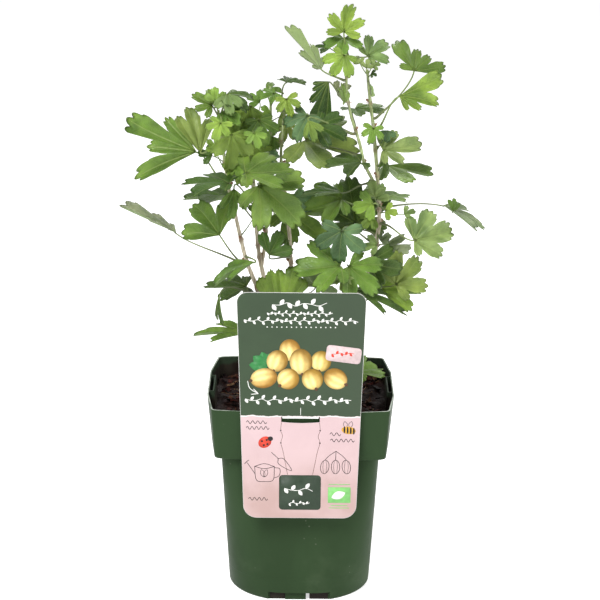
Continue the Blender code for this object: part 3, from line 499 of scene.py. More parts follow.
soil = {"top": 161.0, "gap": 1.5, "foot": 9.95, "chips": 620, "fibres": 90, "seed": 4, "sharp": 38,
        # tones of the bed and the chips, with the share of the chips that has each
        "tones": ((0.010, 0.0030, 0.0020), (0.034, 0.0065, 0.0045), (0.004, 0.002, 0.002), (0.046, 0.019, 0.010),
                  (0.009, 0.0035, 0.0040), (0.12, 0.075, 0.042)),
        "shares": (0.28, 0.30, 0.17, 0.10, 0.12, 0.03), "fibre": (0.16, 0.10, 0.055)}


def soilHeight(x, y):
    # two slow waves as in the pot's filling, a low mound in the middle, then lattice noise in three sizes
    z = soil["top"] + 1.6 * np.sin(0.09 * x + 0.6) * np.cos(0.11 * y) + 1.2 * np.sin(0.21 * x - 0.17 * y)
    for rise, cell, seed in ((1.6, 9.0, 1), (0.9, 4.0, 2), (0.5, 1.7, 3)):
        z = z + rise * latticeNoise(x, y, cell, seed)
    return z + 3.0 * np.exp(-((x - 2) ** 2 + (y - 2) ** 2) / 900.0)


def soilMaterial():
    material, shader, where = newMaterial("dampPottingSoil", 0.85, 0.12)
    fine, lumps = noise(where, 420.0, 5.0, 0.65), noise(where, 120.0)
    colour = tintedBy(where, passage(fine, 0.30, 0.70, (0.35, 0.35, 0.35), (1.7, 1.6, 1.5)))
    wire(shader, colour, between(lumps, 0.35, 0.65, 0.62, 0.95), fine, 0.7, 0.0012)
    return material


def chipShapes(random, sizes):
    # each chip is a slightly bent block of 3 by 3 by 2 points, pulled out of square, turned and laid on the soil
    grid = np.stack(np.meshgrid([-1, 0, 1], [-1, 0, 1], [-1, 1], indexing="ij"), axis=-1).reshape(-1, 3).astype(float)
    index = np.arange(18).reshape(3, 3, 2)
    a, b, c, d = index[:-1, :-1], index[1:, :-1], index[1:, 1:], index[:-1, 1:]
    low = index[..., 0]
    rim = np.concatenate([low[:-1, 0], low[-1, :-1], low[:0:-1, -1], low[0, :0:-1]])  # anticlockwise from above
    ahead = np.roll(rim, -1)
    faces = np.concatenate([np.stack([a, b, c, d], axis=-1)[:, :, 1].reshape(-1, 4),
                            np.stack([a, d, c, b], axis=-1)[:, :, 0].reshape(-1, 4),
                            np.stack([rim, ahead, ahead + 1, rim + 1], axis=-1)])
    shape = grid[None] * sizes[:, None]
    shape = shape * (1 + 0.32 * random.uniform(-1, 1, shape.shape))
    shape[..., 2] += 0.16 * sizes[:, :1] * (grid[None, :, 0] ** 2 - 0.5) * random.uniform(-1, 1, (len(sizes), 1))
    return shape, faces


def spinAbout(axis, angle):
    # rotation matrices about one axis, one for each angle
    first, second = (axis + 1) % 3, (axis + 2) % 3
    spins = np.zeros((len(angle), 3, 3))
    spins[:, axis, axis] = 1
    spins[:, first, first] = spins[:, second, second] = np.cos(angle)
    spins[:, second, first], spins[:, first, second] = np.sin(angle), -np.sin(angle)
    return spins


def soilBed():
    # rings up the pot's inside, then rings that shrink to the middle over the rough top
    inset = pot["wall"] + soil["gap"]
    walls = [bodyRing(level, inset) for level in (soil["foot"], 20, 45, 75, 105, pot["collarZ"] + 1)]
    walls += [collarRing(level, inset) for level in (pot["collarZ"] + 2.7, soil["top"] - 5)]
    outer = collarRing(soil["top"], inset)
    shares = np.linspace(1, 0, 44, endpoint=False) ** 0.8
    top = outer[None] * np.stack([shares, shares, np.ones_like(shares)], axis=1)[:, None]
    top[..., 2] = soilHeight(top[..., 0], top[..., 1])
    rings = walls + list(top)
    middle = soilHeight(np.zeros(1), np.zeros(1))[0]
    points = np.concatenate(rings + [[(0, 0, soil["foot"])], [(0, 0, middle)]])
    shade = 1.0 + 0.25 * latticeNoise(points[:, 0], points[:, 1], 12.0, 7)
    return part(points, capped(len(rings), len(outer)), np.array(soil["tones"][0])[None] * shade[:, None])


def soilChips(random, count):
    # flakes of bark scattered over the top, each turned at random and sunk a little into it
    sizes = np.stack([random.uniform(*span, count) for span in ((1.4, 4.6), (0.9, 2.6), (0.3, 0.9))], axis=1)
    shapes, faces = chipShapes(random, sizes)
    turns = spinAbout(2, random.uniform(0, 6.3, count)) @ spinAbout(1, random.normal(0, 0.35, count))
    turns = turns @ spinAbout(0, random.normal(0, 0.45, count))
    x, y = random.uniform(-68, 68, count), random.uniform(-68, 68, count)
    centre = np.stack([x, y, soilHeight(x, y) + sizes[:, 2] * 0.6], axis=1)
    places = np.einsum("nij,nkj->nki", turns, shapes) + centre[:, None]
    tones = np.array(soil["tones"])[random.choice(len(soil["tones"]), count, p=soil["shares"])]
    tones = tones * random.uniform(0.7, 1.3, (count, 1))
    groups = (faces[None] + 18 * np.arange(count)[:, None, None]).reshape(-1, 4)
    return part(places.reshape(-1, 3), [groups], np.repeat(tones, 18, axis=0))


def soilFibre(random):
    # a thin curved thread that arches a little over the soil
    x, y, turn = random.uniform(-64, 64), random.uniform(-64, 64), random.uniform(0, 6.3)
    reach, curl = random.uniform(4, 13), random.uniform(-1.4, 1.4)
    t = np.linspace(0, 1, 7)
    x, y = x + reach * t * np.cos(turn + curl * t), y + reach * t * np.sin(turn + curl * t)
    z = soilHeight(x, y) + 0.5 + random.uniform(0, 2.2) * np.sin(np.pi * t)
    tone = np.array(soil["fibre"]) * random.uniform(0.5, 1.6)
    return tubePart(np.column_stack([x, y, z]), random.uniform(0.12, 0.25), 4, tone)


def makeSoil():
    random = np.random.default_rng(soil["seed"])
    parts = [soilBed(), soilChips(random, soil["chips"])] + [soilFibre(random) for _ in range(soil["fibres"])]
    addPiece("potting_soil_bed", parts, [soilMaterial()], ["potting_soil"], sharp=soil["sharp"])


makeSoil()
print("soil made")


eye = np.array([0.0, -1672.5, 729.0])  # places are read as seen from here on the plane y = 0, then slid to a depth

# each stem's places as x and z on that plane and a depth, then its radius at the foot and at the tip
canes = {
    "cane_left": (
        [(-13, 149, -4), (-17, 173, -5), (-24, 213, -8), (-33, 248, -12), (-40, 268, -15), (-47, 286, -17),
         (-52, 306, -18), (-57, 328, -19), (-62, 349, -20), (-65, 368, -20), (-68, 391, -19), (-71, 417, -18)],
        2.2, 1.1,
    ),
    "cane_middle_left": (
        [(-9, 150, 9), (-12, 173, 9), (-20, 218, 10), (-28, 253, 11), (-33, 275, 12), (-36, 290, 12),
         (-38, 306, 13), (-40, 333, 14), (-41, 353, 15), (-43, 383, 16), (-44, 409, 17)],
        2.4, 1.1,
    ),
    "cane_middle": (
        [(-3, 150, -9), (-5, 183, -8), (-8, 233, -5), (-9, 273, -2), (-10, 300, 0), (-12, 325, 2),
         (-15, 349, 5), (-18, 371, 7), (-18, 391, 9), (-16, 412, 10)],
        2.1, 1.0,
    ),
    "cane_right": (
        [(12, 150, 2), (19, 178, 3), (33, 218, 5), (47, 253, 7), (57, 278, 8), (62, 298, 9), (65, 318, 9),
         (65, 338, 9), (63, 363, 9), (61, 383, 9), (59, 403, 8), (56, 424, 7), (54, 441, 6), (53, 452, 5)],
        2.4, 1.1,
    ),
}
shoots = {
    "shoot_middle": (
        "cane_middle_left",
        [(-34.5, 282, 12), (-32, 299, 17), (-30, 323, 21), (-29, 349, 23), (-28, 376, 24), (-27, 402, 24),
         (-27.5, 437, 24)],
        1.6, 1.0,
    ),
    "shoot_right": (
        "cane_right",
        [(65, 341, 9), (60, 356, 2), (52, 372, -5), (48, 388, -8), (44, 401, -9), (40, 413, -10),
         (36.5, 431, -10), (35.5, 450, -9), (35, 461, -9)],
        1.5, 0.9,
    ),
}
caneLook = {"sides": 16, "nodeSwell": 0.34, "nodeHalf": 2.2, "greenFrom": 325, "shootGreenFrom": 310, "greenOver": 60,
            "lowBark": (0.52, 0.46, 0.36), "darkBark": (0.17, 0.09, 0.055), "greenTip": (0.30, 0.37, 0.17),
            "spine": (0.46, 0.30, 0.20), "spineRadii": (0.36, 0.22, 0.03), "spineReach": (2.5, 6.5),
            "bud": (0.24, 0.13, 0.07), "budLength": 4.2, "budRadius": 1.25, "seed": 11}
# heights of the nodes on each stem, where old leaves and buds sat, and how many spines stand there
stemNodes = {
    "cane_left": ((262, 0), (286, 2), (306, 4), (330, 2), (352, 2), (372, 1), (392, 2)),
    "cane_middle_left": ((262, 1), (290, 3), (301, 4), (322, 1), (345, 1), (366, 2), (388, 1)),
    "cane_middle": ((262, 2), (286, 6), (297, 6), (326, 3), (350, 1), (371, 3), (391, 2)),
    "cane_right": ((262, 1), (298, 5), (303, 3), (321, 2), (334, 4), (362, 1), (384, 2), (403, 2), (424, 2)),
    "shoot_middle": ((312, 1), (340, 1), (372, 1), (404, 2)),
    "shoot_right": ((372, 1), (401, 1), (424, 2), (446, 1)),
}


def seenAt(places):
    # the point on the sight line through (x, z) of the plane y = 0 that lies at the given depth
    places = np.asarray(places, float).reshape(-1, 3)
    share = (places[:, 2] - eye[1]) / -eye[1]
    return np.stack([places[:, 0] * share, places[:, 2], eye[2] + (places[:, 1] - eye[2]) * share], axis=1)


def stemOf(name):
    return canes[name] if name in canes else shoots[name][1:]


def stemAt(name, height):
    # centre and radius of a stem at a height, read as its places are
    places, foot, tip = stemOf(name)
    steps = np.arange(len(places))
    step = np.interp(height, [place[1] for place in places], steps)
    place = [np.interp(step, steps, [p[axis] for p in places]) for axis in range(3)]
    return seenAt([place])[0], foot + (tip - foot) * step / (len(places) - 1)


def barkMaterial():
    material, shader, where = newMaterial("gooseberryBark", 0.72, 0.3)
    streak = noise(stretched(where, (900, 900, 70)), 1.0, 4.0, 0.6)
    blotch = noise(stretched(where, (240, 240, 60)), 1.0)
    colour = tintedBy(where, passage(streak, 0.34, 0.66, (0.60, 0.56, 0.52), (1.35, 1.34, 1.32)))
    colour = mixed(between(blotch, 0.58, 0.74, 0, 0.55), colour, (0.42, 0.39, 0.33))
    wire(shader, colour, between(streak, 0.3, 0.7, 0.55, 0.85), streak, 0.55, 0.0006)
    return material


def stemParts(name, random):
    # a tapered tube that swells at its nodes, with spines and a bud at each node
    places, foot, tip = stemOf(name)
    path = splinePath(seenAt(places), 12 * len(places))
    height = path[:, 2]
    nodes = [(*stemAt(name, level), level, count) for level, count in stemNodes[name]]
    swell = sum(np.exp(-((height - centre[2]) / caneLook["nodeHalf"]) ** 2) for centre, *_ in nodes)
    radii = foot + (tip - foot) * np.linspace(0, 1, len(path))
    radii = radii * (1 + caneLook["nodeSwell"] * np.minimum(swell, 1.2)) * (1 + 0.05 * np.sin(height * 0.9))
    greenFrom = caneLook["greenFrom" if name in canes else "shootGreenFrom"]
    green = smoothStep((height - greenFrom) / caneLook["greenOver"])[:, None]
    low, dark, tipTone = (np.array(caneLook[key]) for key in ("lowBark", "darkBark", "greenTip"))
    colour = low * (1 - green) + tipTone * green
    colour = colour + (dark - colour) * (0.55 * np.minimum(swell, 1.0))[:, None]
    parts = [tubePart(path, radii, caneLook["sides"], colour)]
    for centre, radius, level, count in nodes:
        for _ in range(count):
            turn, rise = random.uniform(0, 2 * np.pi), random.uniform(-0.15, 0.65)
            way = unit(np.array([math.cos(turn), math.sin(turn), rise]))
            start = centre + way * radius * 0.6 + (0, 0, random.uniform(-3, 3))
            reach = random.uniform(*caneLook["spineReach"])
            spine = np.array([start, start + way * reach * 0.5, start + way * reach])
            parts.append(tubePart(spine, caneLook["spineRadii"], 5, caneLook["spine"]))
        side = unit(np.array([math.cos(level), math.sin(level), 0.9]))
        t = np.linspace(0, 1, 7)
        bud = centre + side * (radius * 0.7 + caneLook["budLength"] * t[:, None])
        thick = caneLook["budRadius"] * np.sqrt(np.maximum(1 - t ** 2, 0.0)) * (0.45 + t) + 0.03
        parts.append(tubePart(bud, thick, 8, caneLook["bud"]))
    return parts


def makeCanes():
    material = barkMaterial()
    random = np.random.default_rng(caneLook["seed"])
    for name in canes:
        parts = stemParts(name, random)
        for shoot in shoots:
            if shoots[shoot][0] == name:
                parts += stemParts(shoot, random)
        addPiece(name + "_bark", parts, [material], [name])


makeCanes()
print("canes made")


# blade forms: how deep the cuts between lobes are, how narrow they are, teeth on each side of a lobe, tooth depth,
# then each lobe's direction from the midrib in degrees and its share of the leaf's length
bladeForms = {
    "wide": (0.53, 3.2, 2.4, 0.10, ((-104, 0.66), (-52, 0.92), (0, 1.0), (52, 0.92), (104, 0.66))),
    "fan": (0.41, 4.0, 2.4, 0.10, ((-100, 0.72), (-50, 0.94), (0, 1.0), (50, 0.94), (100, 0.72))),
    "plain": (0.51, 3.4, 2.3, 0.11, ((-92, 0.54), (-46, 0.86), (0, 1.0), (46, 0.86), (92, 0.54))),
    "young": (0.51, 3.0, 1.6, 0.12, ((-55, 0.80), (0, 1.0), (55, 0.80))),
    "narrow": (0.55, 2.7, 2.2, 0.11, ((-34, 0.76), (0, 1.0), (34, 0.76))),
    "three": (0.49, 3.5, 2.3, 0.09, ((-46, 0.88), (0, 1.0), (46, 0.88))),
    "star": (0.56, 2.6, 2.2, 0.13, ((-100, 0.60), (-50, 0.80), (0, 1.0), (50, 0.80), (100, 0.60))),
    "hand": (0.47, 2.7, 2.3, 0.08, ((-22, 0.86), (4, 0.66), (18, 1.04), (40, 0.60))),
    "blunt": (0.22, 3.2, 1.8, 0.04, ((-22, 0.88), (0, 1.0), (26, 0.78))),
    "crown": (0.11, 4.8, 2.0, 0.04, ((-40, 0.92), (-20, 1.02), (0, 1.0), (20, 1.02), (40, 0.92))),
    "pale": (0.37, 3.6, 2.3, 0.09, ((-88, 0.50), (-44, 0.74), (0, 0.96), (44, 0.70), (88, 0.36))),
    "spear": (0.51, 2.9, 2.2, 0.09, ((-90, 0.40), (-46, 0.58), (0, 1.0), (46, 0.60), (90, 0.40))),
    "side": (0.49, 3.2, 2.2, 0.09, ((0, 1.0), (42, 0.88), (84, 0.62))),
    "hood": (0.39, 4.0, 2.2, 0.09, ((-76, 0.52), (-38, 1.14), (0, 0.76), (38, 0.74), (76, 1.0))),
    "sweep": (0.41, 4.0, 2.2, 0.08, ((-20, 1.0), (8, 0.85), (36, 0.52), (64, 0.36))),
    "closed": (0.24, 2.4, 2.2, 0.09, ((-10, 0.95), (0, 1.0), (12, 0.84))),
    "sliver": (0.24, 2.4, 2.2, 0.09, ((-60, 0.30), (-30, 0.55), (0, 1.0), (30, 0.60), (60, 0.34))),
    "hung": (0.22, 3.2, 2.0, 0.07, ((-8, 0.88), (12, 1.0), (32, 0.62), (52, 0.42), (72, 0.34))),
}
leafLook = {"fold": 10.0, "sideBend": 18.0, "thickness": 0.5, "puff": 0.19, "wave": 0.040, "taper": 0.06,
            "swing": 0.16, "droop": 0.20, "stiffDroop": 0.05, "petiole": 0.65, "bud": 1.7, "gap": 0.35, "seed": 23,
            "youngSeed": 500, "small": 18, "stalk": (0.13, 0.155, 0.065), "vein": (0.42, 0.52, 0.15),
            "under": (0.30, 0.39, 0.20), "underVein": (0.42, 0.48, 0.30), "through": (0.38, 0.50, 0.10)}
stiffForms = ("narrow", "spear", "closed", "sliver", "hung")
leafTones = {
    "bright": (0.245, 0.40, 0.058),
    "light": (0.29, 0.41, 0.13),
    "mid": (0.135, 0.245, 0.034),
    # dark is the deep green of older leaves, and on leaves deep in the bush it is also painted shade
    "dark": (0.050, 0.110, 0.014),
    "olive": (0.205, 0.295, 0.062),
    "grey": (0.25, 0.31, 0.17),
    "fresh": (0.20, 0.335, 0.055),
    # bluish sheen is a paler blue-green tone that stands in for a painted reflection of the sky on glossy leaves
    "blue": (0.110, 0.210, 0.085),
}
# each piece of foliage: its name, the stem and the height of its foot, then its leaves. A leaf has the place of its
# base as seen and its depth, the direction its midrib points, its length, how far its face is turned sideways and
# up, how far it bends down, its form and its tone
foliage = (
    ("spur_left_low", "cane_left", 284,
     ((-70, 309, -40), 124, 37, -8, 30, 10, "three", "mid"),
     ((-107, 311, 12), 153, 54, 97, 63, 4, "sliver", "grey")),
    ("leaf_left_low", "cane_left", 291, ((-40, 286, -44), 206, 42, -80, 66, 8, "narrow", "mid")),
    ("spur_left", "cane_left", 354,
     ((-89, 381, 2), 176, 70, -4, 28, 6, "hand", "mid"),
     ((-62, 354, -52), 177, 43, 0, 86, 6, "plain", "dark")),
    ("leaf_left_behind", "cane_left", 385, ((-86, 380, -6), 101, 43, 8, 20, 8, "blunt", "olive")),
    ("leaf_left_level", "shoot_middle", 316, ((-58, 341, 10), 180, 46, 0, 92, 4, "three", "dark")),
    ("leaf_left_inner", "shoot_middle", 324, ((-58, 350, -40), 270, 27, 10, 18, 20, "narrow", "mid")),
    ("spur_left_base", "cane_left", 259,
     ((-47, 264, -10), 182, 38, 0, 78, 14, "plain", "dark"),
     ((-70, 259, -52), 264, 30, -60, 10, 20, "closed", "dark")),
    ("leaf_left_lowest", "cane_left", 215, ((-46, 222, -42), 178, 50, 0, 82, 12, "narrow", "mid")),
    ("spur_left_tip", "cane_left", 412,
     ((-76, 421, -24), 152, 21, 0, 35, 20, "star", "mid"),
     ((-64, 430, -18), 342, 27, 0, 82, 50, "plain", "dark"),
     ((-63, 431, -34), 275, 18, 0, 15, 20, "three", "light"),
     ((-66, 417, -26), 320, 19, 0, 45, 20, "young", "mid"),
     ((-69, 406, -52), 250, 18, 0, 20, 20, "star", "bright"),
     ((-73, 424, -34), 96, 14, 0, 20, 15, "young", "bright")),
    ("leaf_left_shoot", "cane_left", 396, ((-60, 397, -30), 268, 34, 40, 12, 20, "plain", "fresh")),
    ("leaf_behind_crown", "cane_middle_left", 375, ((-48, 390, 40), 130, 33, 20, 30, 20, "plain", "mid")),
    ("spur_inner", "cane_middle_left", 401,
     ((-44, 421, -6), 262, 25, 20, 15, 15, "three", "fresh"),
     ((-37, 409, -12), 285, 24, 10, 20, 20, "plain", "mid")),
    ("leaf_inner_bright", "cane_middle_left", 367, ((-52, 379, 0), 325, 31, 0, 40, 20, "wide", "fresh")),
    ("leaf_centre_large", "cane_middle", 353, ((-37, 353, -36), 322, 47, 8, 32, 15, "plain", "fresh")),
    ("leaf_centre_side", "cane_middle", 371, ((-48, 363, -55), 4, 43, 0, 68, 10, "plain", "mid")),
    ("leaf_centre_grey", "cane_middle", 325, ((-8, 343, 30), 330, 27, 0, -30, 20, "plain", "blue")),
    ("leaf_centre_long", "cane_middle", 300, ((-12, 331, 47), 322, 43, 0, 45, 12, "plain", "fresh")),
    ("leaf_centre_dark", "cane_middle", 291, ((-28, 292, -40), 62, 23, -10, 15, 15, "three", "dark")),
    ("spur_middle_tip", "cane_middle", 406,
     ((-14, 427, -18), 285, 17, 0, 15, 15, "star", "bright"),
     ((-15, 441, -6), 8, 19, 0, 88, 5, "plain", "dark")),
    ("tuft_middle_tip", "shoot_middle", 431,
     ((-31, 433, 34), 8, 16, 0, 62, 10, "young", "mid"),
     ((-27, 415, 12), 200, 12, 0, 20, 10, "young", "bright")),
    ("leaf_front_left", "cane_middle", 235, ((-17, 243, -34), 92, 37, 0, 0, 12, "crown", "mid")),
    ("leaf_front_middle", "cane_middle", 261, ((33, 283, -38), 184, 41, 5, 56, 12, "plain", "mid")),
    ("leaf_rear_left", "cane_middle_left", 303, ((-44, 378, 72), 95, 38, 170, 25, 20, "wide", "mid")),
    ("leaf_rear_low", "cane_middle_left", 253, ((12, 264, 72), 60, 34, 180, 30, 20, "wide", "dark")),
    ("leaf_rear_middle", "cane_middle", 355, ((-24, 330, 72), 84, 36, 190, 30, 20, "plain", "mid")),
    ("leaf_middle_grey", "cane_right", 304, ((34, 314, -39), 262, 28, -12, 15, 15, "wide", "blue")),
    ("leaf_middle_dark", "cane_right", 309, ((45, 321, 56), 99, 43, -5, 12, 12, "wide", "dark")),
    ("leaf_middle_left", "cane_right", 325, ((33, 341, 17), 192, 34, 0, 52, 15, "plain", "fresh")),
    ("leaf_middle_level", "shoot_right", 355, ((34, 347, 8), 180, 38, 0, 88, 4, "narrow", "dark")),
    ("leaf_middle_olive", "shoot_right", 379, ((2, 392, 14), 350, 47, 0, 54, 5, "wide", "olive")),
    ("leaf_middle_shade", "shoot_right", 369, ((49, 373, -26), 186, 32, 0, 82, 10, "plain", "dark")),
    ("spur_middle_right", "shoot_right", 398,
     ((4, 413, -18), 240, 26, -15, 25, 20, "plain", "blue"),
     ((12, 404, -24), 342, 27, 0, 38, 15, "plain", "dark"),
     ((4, 409, -40), 290, 21, 20, 15, 20, "narrow", "fresh")),
    ("leaf_right_pale", "cane_right", 321, ((95, 306, -22), 14, 41, 8, 28, 10, "pale", "light")),
    ("leaf_right_far", "cane_right", 334, ((119, 337, 10), 331, 48, 78, 58, 2, "narrow", "grey")),
    ("leaf_right_underside", "cane_right", 299, ((70, 302, 26), 352, 25, 0, -25, 15, "plain", "grey")),
    ("leaf_right_dark", "cane_right", 287, ((57, 287, -20), 342, 29, 0, 20, 15, "three", "dark")),
    ("leaf_right_olive", "cane_right", 265, ((80, 267, -12), 46, 34, 5, 20, 12, "plain", "olive")),
    ("leaf_right_low", "cane_right", 249, ((68, 262, -2), 8, 39, 5, 44, 12, "three", "bright")),
    ("leaf_front_right", "cane_right", 273, ((40, 283, -37), 318, 34, 5, 16, 12, "plain", "mid")),
    ("leaf_front_corner", "cane_right", 235, ((44, 263, -34), 333, 50, 72, 62, 4, "narrow", "dark")),
    ("leaf_on_soil", "cane_right", 175, ((46, 188, -23), 14, 30, 8, 80, 6, "fan", "mid")),
    ("leaf_right_level", "cane_right", 346, ((56, 342, 24), 9, 41, 0, 88, 4, "three", "mid")),
    ("leaf_right_wing", "cane_right", 359, ((71, 371, 36), 349, 44, 0, 72, 8, "side", "mid")),
    ("leaf_right_upper", "cane_right", 371, ((67, 384, 4), 8, 37, 0, 42, 10, "spear", "light")),
    ("leaf_upper_right", "cane_right", 401, ((80, 430, -12), 3, 42, 0, 25, 8, "sweep", "bright")),
    ("leaf_upper_far", "cane_right", 411, ((92, 451, 18), 86, 27, 8, 25, 12, "hood", "mid")),
    ("spur_top", "shoot_right", 461,
     ((33, 483, -6), 82, 25, 0, 15, 15, "star", "bright"),
     ((33, 478, 2), 262, 21, 0, 58, 15, "wide", "mid"),
     ((53, 463, 4), 38, 22, 0, 30, 12, "plain", "light"),
     ((34, 464, -24), 240, 22, 0, 20, 15, "plain", "bright")),
    ("leaf_upper_level", "shoot_right", 402, ((43, 419, 32), 348, 31, 0, 86, 12, "plain", "mid")),
    ("leaf_top_left", "shoot_right", 443, ((15, 452, -8), 131, 46, 130, 28, 6, "sliver", "light")),
    ("spur_top_dark", "shoot_right", 425,
     ((21, 442, 2), 262, 40, -10, 12, 8, "hung", "dark"),
     ((28, 432, 10), 38, 14, -20, 20, 10, "young", "grey"),
     ((34, 423, -26), 95, 19, 60, 15, 10, "narrow", "olive")),
    ("tuft_right_tip", "cane_right", 443,
     ((52, 453, -6), 75, 9, 0, 25, 10, "young", "light"),
     ((57, 429, -8), 88, 14, 75, 10, 10, "narrow", "light")),
    ("tuft_right_young", "cane_right", 337,
     ((60, 338, -20), 198, 19, 0, 20, 15, "young", "bright"),
     ((70, 332, -6), 350, 12, 0, 15, 10, "young", "bright"),
     ((61, 344, -12), 100, 15, 0, 15, 15, "young", "light"),
     ((59, 327, -10), 232, 15, 0, 20, 10, "young", "fresh")),
)


def leafAxes(base, direction, turn, up):
    # sideways, forward and upper-face directions of a blade whose midrib looks turned to direction from the eye
    sight = unit(eye - base)
    turn, up, direction = math.radians(turn), math.radians(up), math.radians(direction)
    face = np.array([math.sin(turn) * math.cos(up), -math.cos(turn) * math.cos(up), math.sin(up)])
    across = np.array([math.cos(direction), 0.0, math.sin(direction)])
    towards = face @ sight
    if abs(towards) < 0.2:
        towards = math.copysign(0.2, towards)
    forward = across - sight * (face @ across) / towards
    forward = unit(forward - face * (forward @ face))
    return np.cross(forward, face), forward, face


def bent(distance, length, bend):
    # forward and downward run of a strip bent evenly by bend degrees over length
    curve = math.radians(bend) / length
    return np.sin(curve * distance) / curve, (1 - np.cos(curve * distance)) / curve


def bladeFaces(ringCount, count):
    # the faces of two sheets of ringCount rows fanned about point 0, which share their margin, and which points of
    # the upper sheet the lower one has a copy of
    total = ringCount * count
    upper = 1 + np.arange(total).reshape(ringCount, count)
    inside = np.zeros((ringCount, count), bool)
    inside[:-1, 1:-1] = True
    lower = upper.copy()
    lower[inside] = 1 + total + np.arange(inside.sum())
    hub, quads, fans = np.zeros(count - 1, int), [], []
    for sheet in (upper, lower):
        a, b, c, d = sheet[:-1, :-1], sheet[1:, :-1], sheet[1:, 1:], sheet[:-1, 1:]
        start, end = sheet[0, :-1], sheet[0, 1:]
        if sheet is upper:
            b, d, start, end = d, b, end, start
        quads.append(np.stack([a, b, c, d], axis=-1).reshape(-1, 4))
        fans.append(np.stack([hub, start, end], axis=-1))
    slots = [np.repeat([0, 1], len(group[0])) for group in (quads, fans)]
    return [np.concatenate(quads), np.concatenate(fans)], slots, inside


def bladePart(leaf, base, random):
    # a fan of rings about the base: the reach of each lobe falls off to its sides as 1 - taper x offset - cut x offset
    # to a power, with rounded teeth on it; the sheet sinks along the main veins, each lobe droops by its own amount,
    # the margin waves, and the whole blade is bent and folded along its midrib
    _, direction, length, turn, up, bend, form, tone = leaf
    sideways, forward, face = leafAxes(base, direction, turn, up)
    cut, narrowness, teeth, toothDepth, lobes = bladeForms[form]
    half = abs(lobes[0][0] - lobes[1][0]) / 2
    perLobe, ringCount = (34, 10) if length > 30 else (26, 8) if length > 17 else (18, 6)
    angle = np.linspace(lobes[0][0] - half, lobes[-1][0] + half, perLobe * len(lobes) + 1)
    centres, shares = np.array(lobes).T
    shares = shares * random.uniform(0.94, 1.05, len(shares))
    offset = np.abs(angle[:, None] - centres) / half
    nearest = np.argmin(offset, axis=1)
    aside = np.minimum(offset[np.arange(len(angle)), nearest], 1.0)
    taper = leafLook["taper"]
    lobe = shares[nearest] * (1 - taper * aside - (cut - taper) * aside ** narrowness)
    teethHere = teeth * random.uniform(0.88, 1.12, len(shares))[nearest]
    toothed = np.abs(np.cos(np.pi * teethHere * aside)) ** 0.65
    reach = length * np.maximum(lobe * (1 - toothDepth * (1 - toothed) * (1 - aside ** 8)), 0.1)
    ring = np.linspace(0, 1, ringCount + 1)[1:, None] ** 0.85
    distance = ring * reach
    share = distance / length
    swing = random.uniform(-1, 1, len(shares)) * leafLook["swing"]
    theta = np.radians(angle) + np.interp(angle, centres, swing) * share ** 2
    across, along = distance * np.sin(theta), distance * np.cos(theta)
    runAlong, dropAlong = bent(along, length, bend)
    runAcross, dropAcross = bent(across, length, leafLook["sideBend"])
    rise = np.abs(across) * math.tan(math.radians(leafLook["fold"])) - dropAlong - dropAcross
    puff = leafLook["puff"] * random.uniform(0.7, 1.4) * min(half / 26, 1)
    rise = rise + puff * distance * (0.5 - 0.5 * np.cos(np.pi * aside))
    droop = random.uniform(-0.3, 1, len(shares)) * leafLook["stiffDroop" if form in stiffForms else "droop"]
    phase = random.uniform(0, 6.3, 2)
    wave = leafLook["wave"] * (np.sin(3.3 * theta + phase[0]) + 0.7 * np.sin(9 * theta + phase[1]))
    rise = rise + length * share ** 2 * (wave - np.interp(angle, centres, droop))
    middle = base + runAcross[..., None] * sideways + runAlong[..., None] * forward + rise[..., None] * face
    edge = (1 - ring ** 6) * (1 - np.abs(angle / angle[-1]) ** 14)
    lift = 0.5 * leafLook["thickness"] * edge[..., None] * face
    faces, slots, inside = bladeFaces(ringCount, len(angle))
    points = np.concatenate([[base], (middle + lift).reshape(-1, 3), (middle - lift)[inside]])
    offAxis = np.radians(angle - centres[nearest])
    uv = np.stack([share * np.cos(offAxis), share * np.abs(np.sin(offAxis))], axis=-1)
    uv = np.concatenate([[[0, 0]], uv.reshape(-1, 2), uv[inside]])
    shade = np.array(leafTones[tone]) * random.uniform(0.88, 1.12) * (random.uniform(0.92, 1.1), 1, 1)
    # the colour lightens from the base towards the lobes' ends, a painted highlight on the blade's margin, and each
    # lobe also gets a random tone of its own
    edgeHighlightAndTone = 0.90 + 0.20 * share ** 1.5 + 0.10 * np.interp(angle, centres, random.uniform(-1, 1, len(shares)))
    colour = shade * edgeHighlightAndTone[..., None]
    colour = np.concatenate([[shade], colour.reshape(-1, 3), colour[inside]])
    return part(points, faces, colour, uv, slots)


def petiolePath(foot, base, leaf):
    # a cubic curve from the foot on the stem to just inside the blade, leaving outwards and arriving along the midrib
    _, direction, _, turn, up, *_ = leaf
    _, forward, face = leafAxes(base, direction, turn, up)
    end = base + forward * 1.6 - face * 0.25
    span = np.linalg.norm(end - foot)
    outward = unit((end - foot) * (1.0, 1.0, 0.35) + (0.0, 0.0, 0.25 * span))
    leaving, arriving = foot + outward * 0.35 * span, end - forward * 0.25 * span - face * 0.06 * span
    t = np.linspace(0, 1, 13)[:, None]
    return (1 - t) ** 3 * foot + 3 * (1 - t) ** 2 * t * leaving + 3 * (1 - t) * t ** 2 * arriving + t ** 3 * end


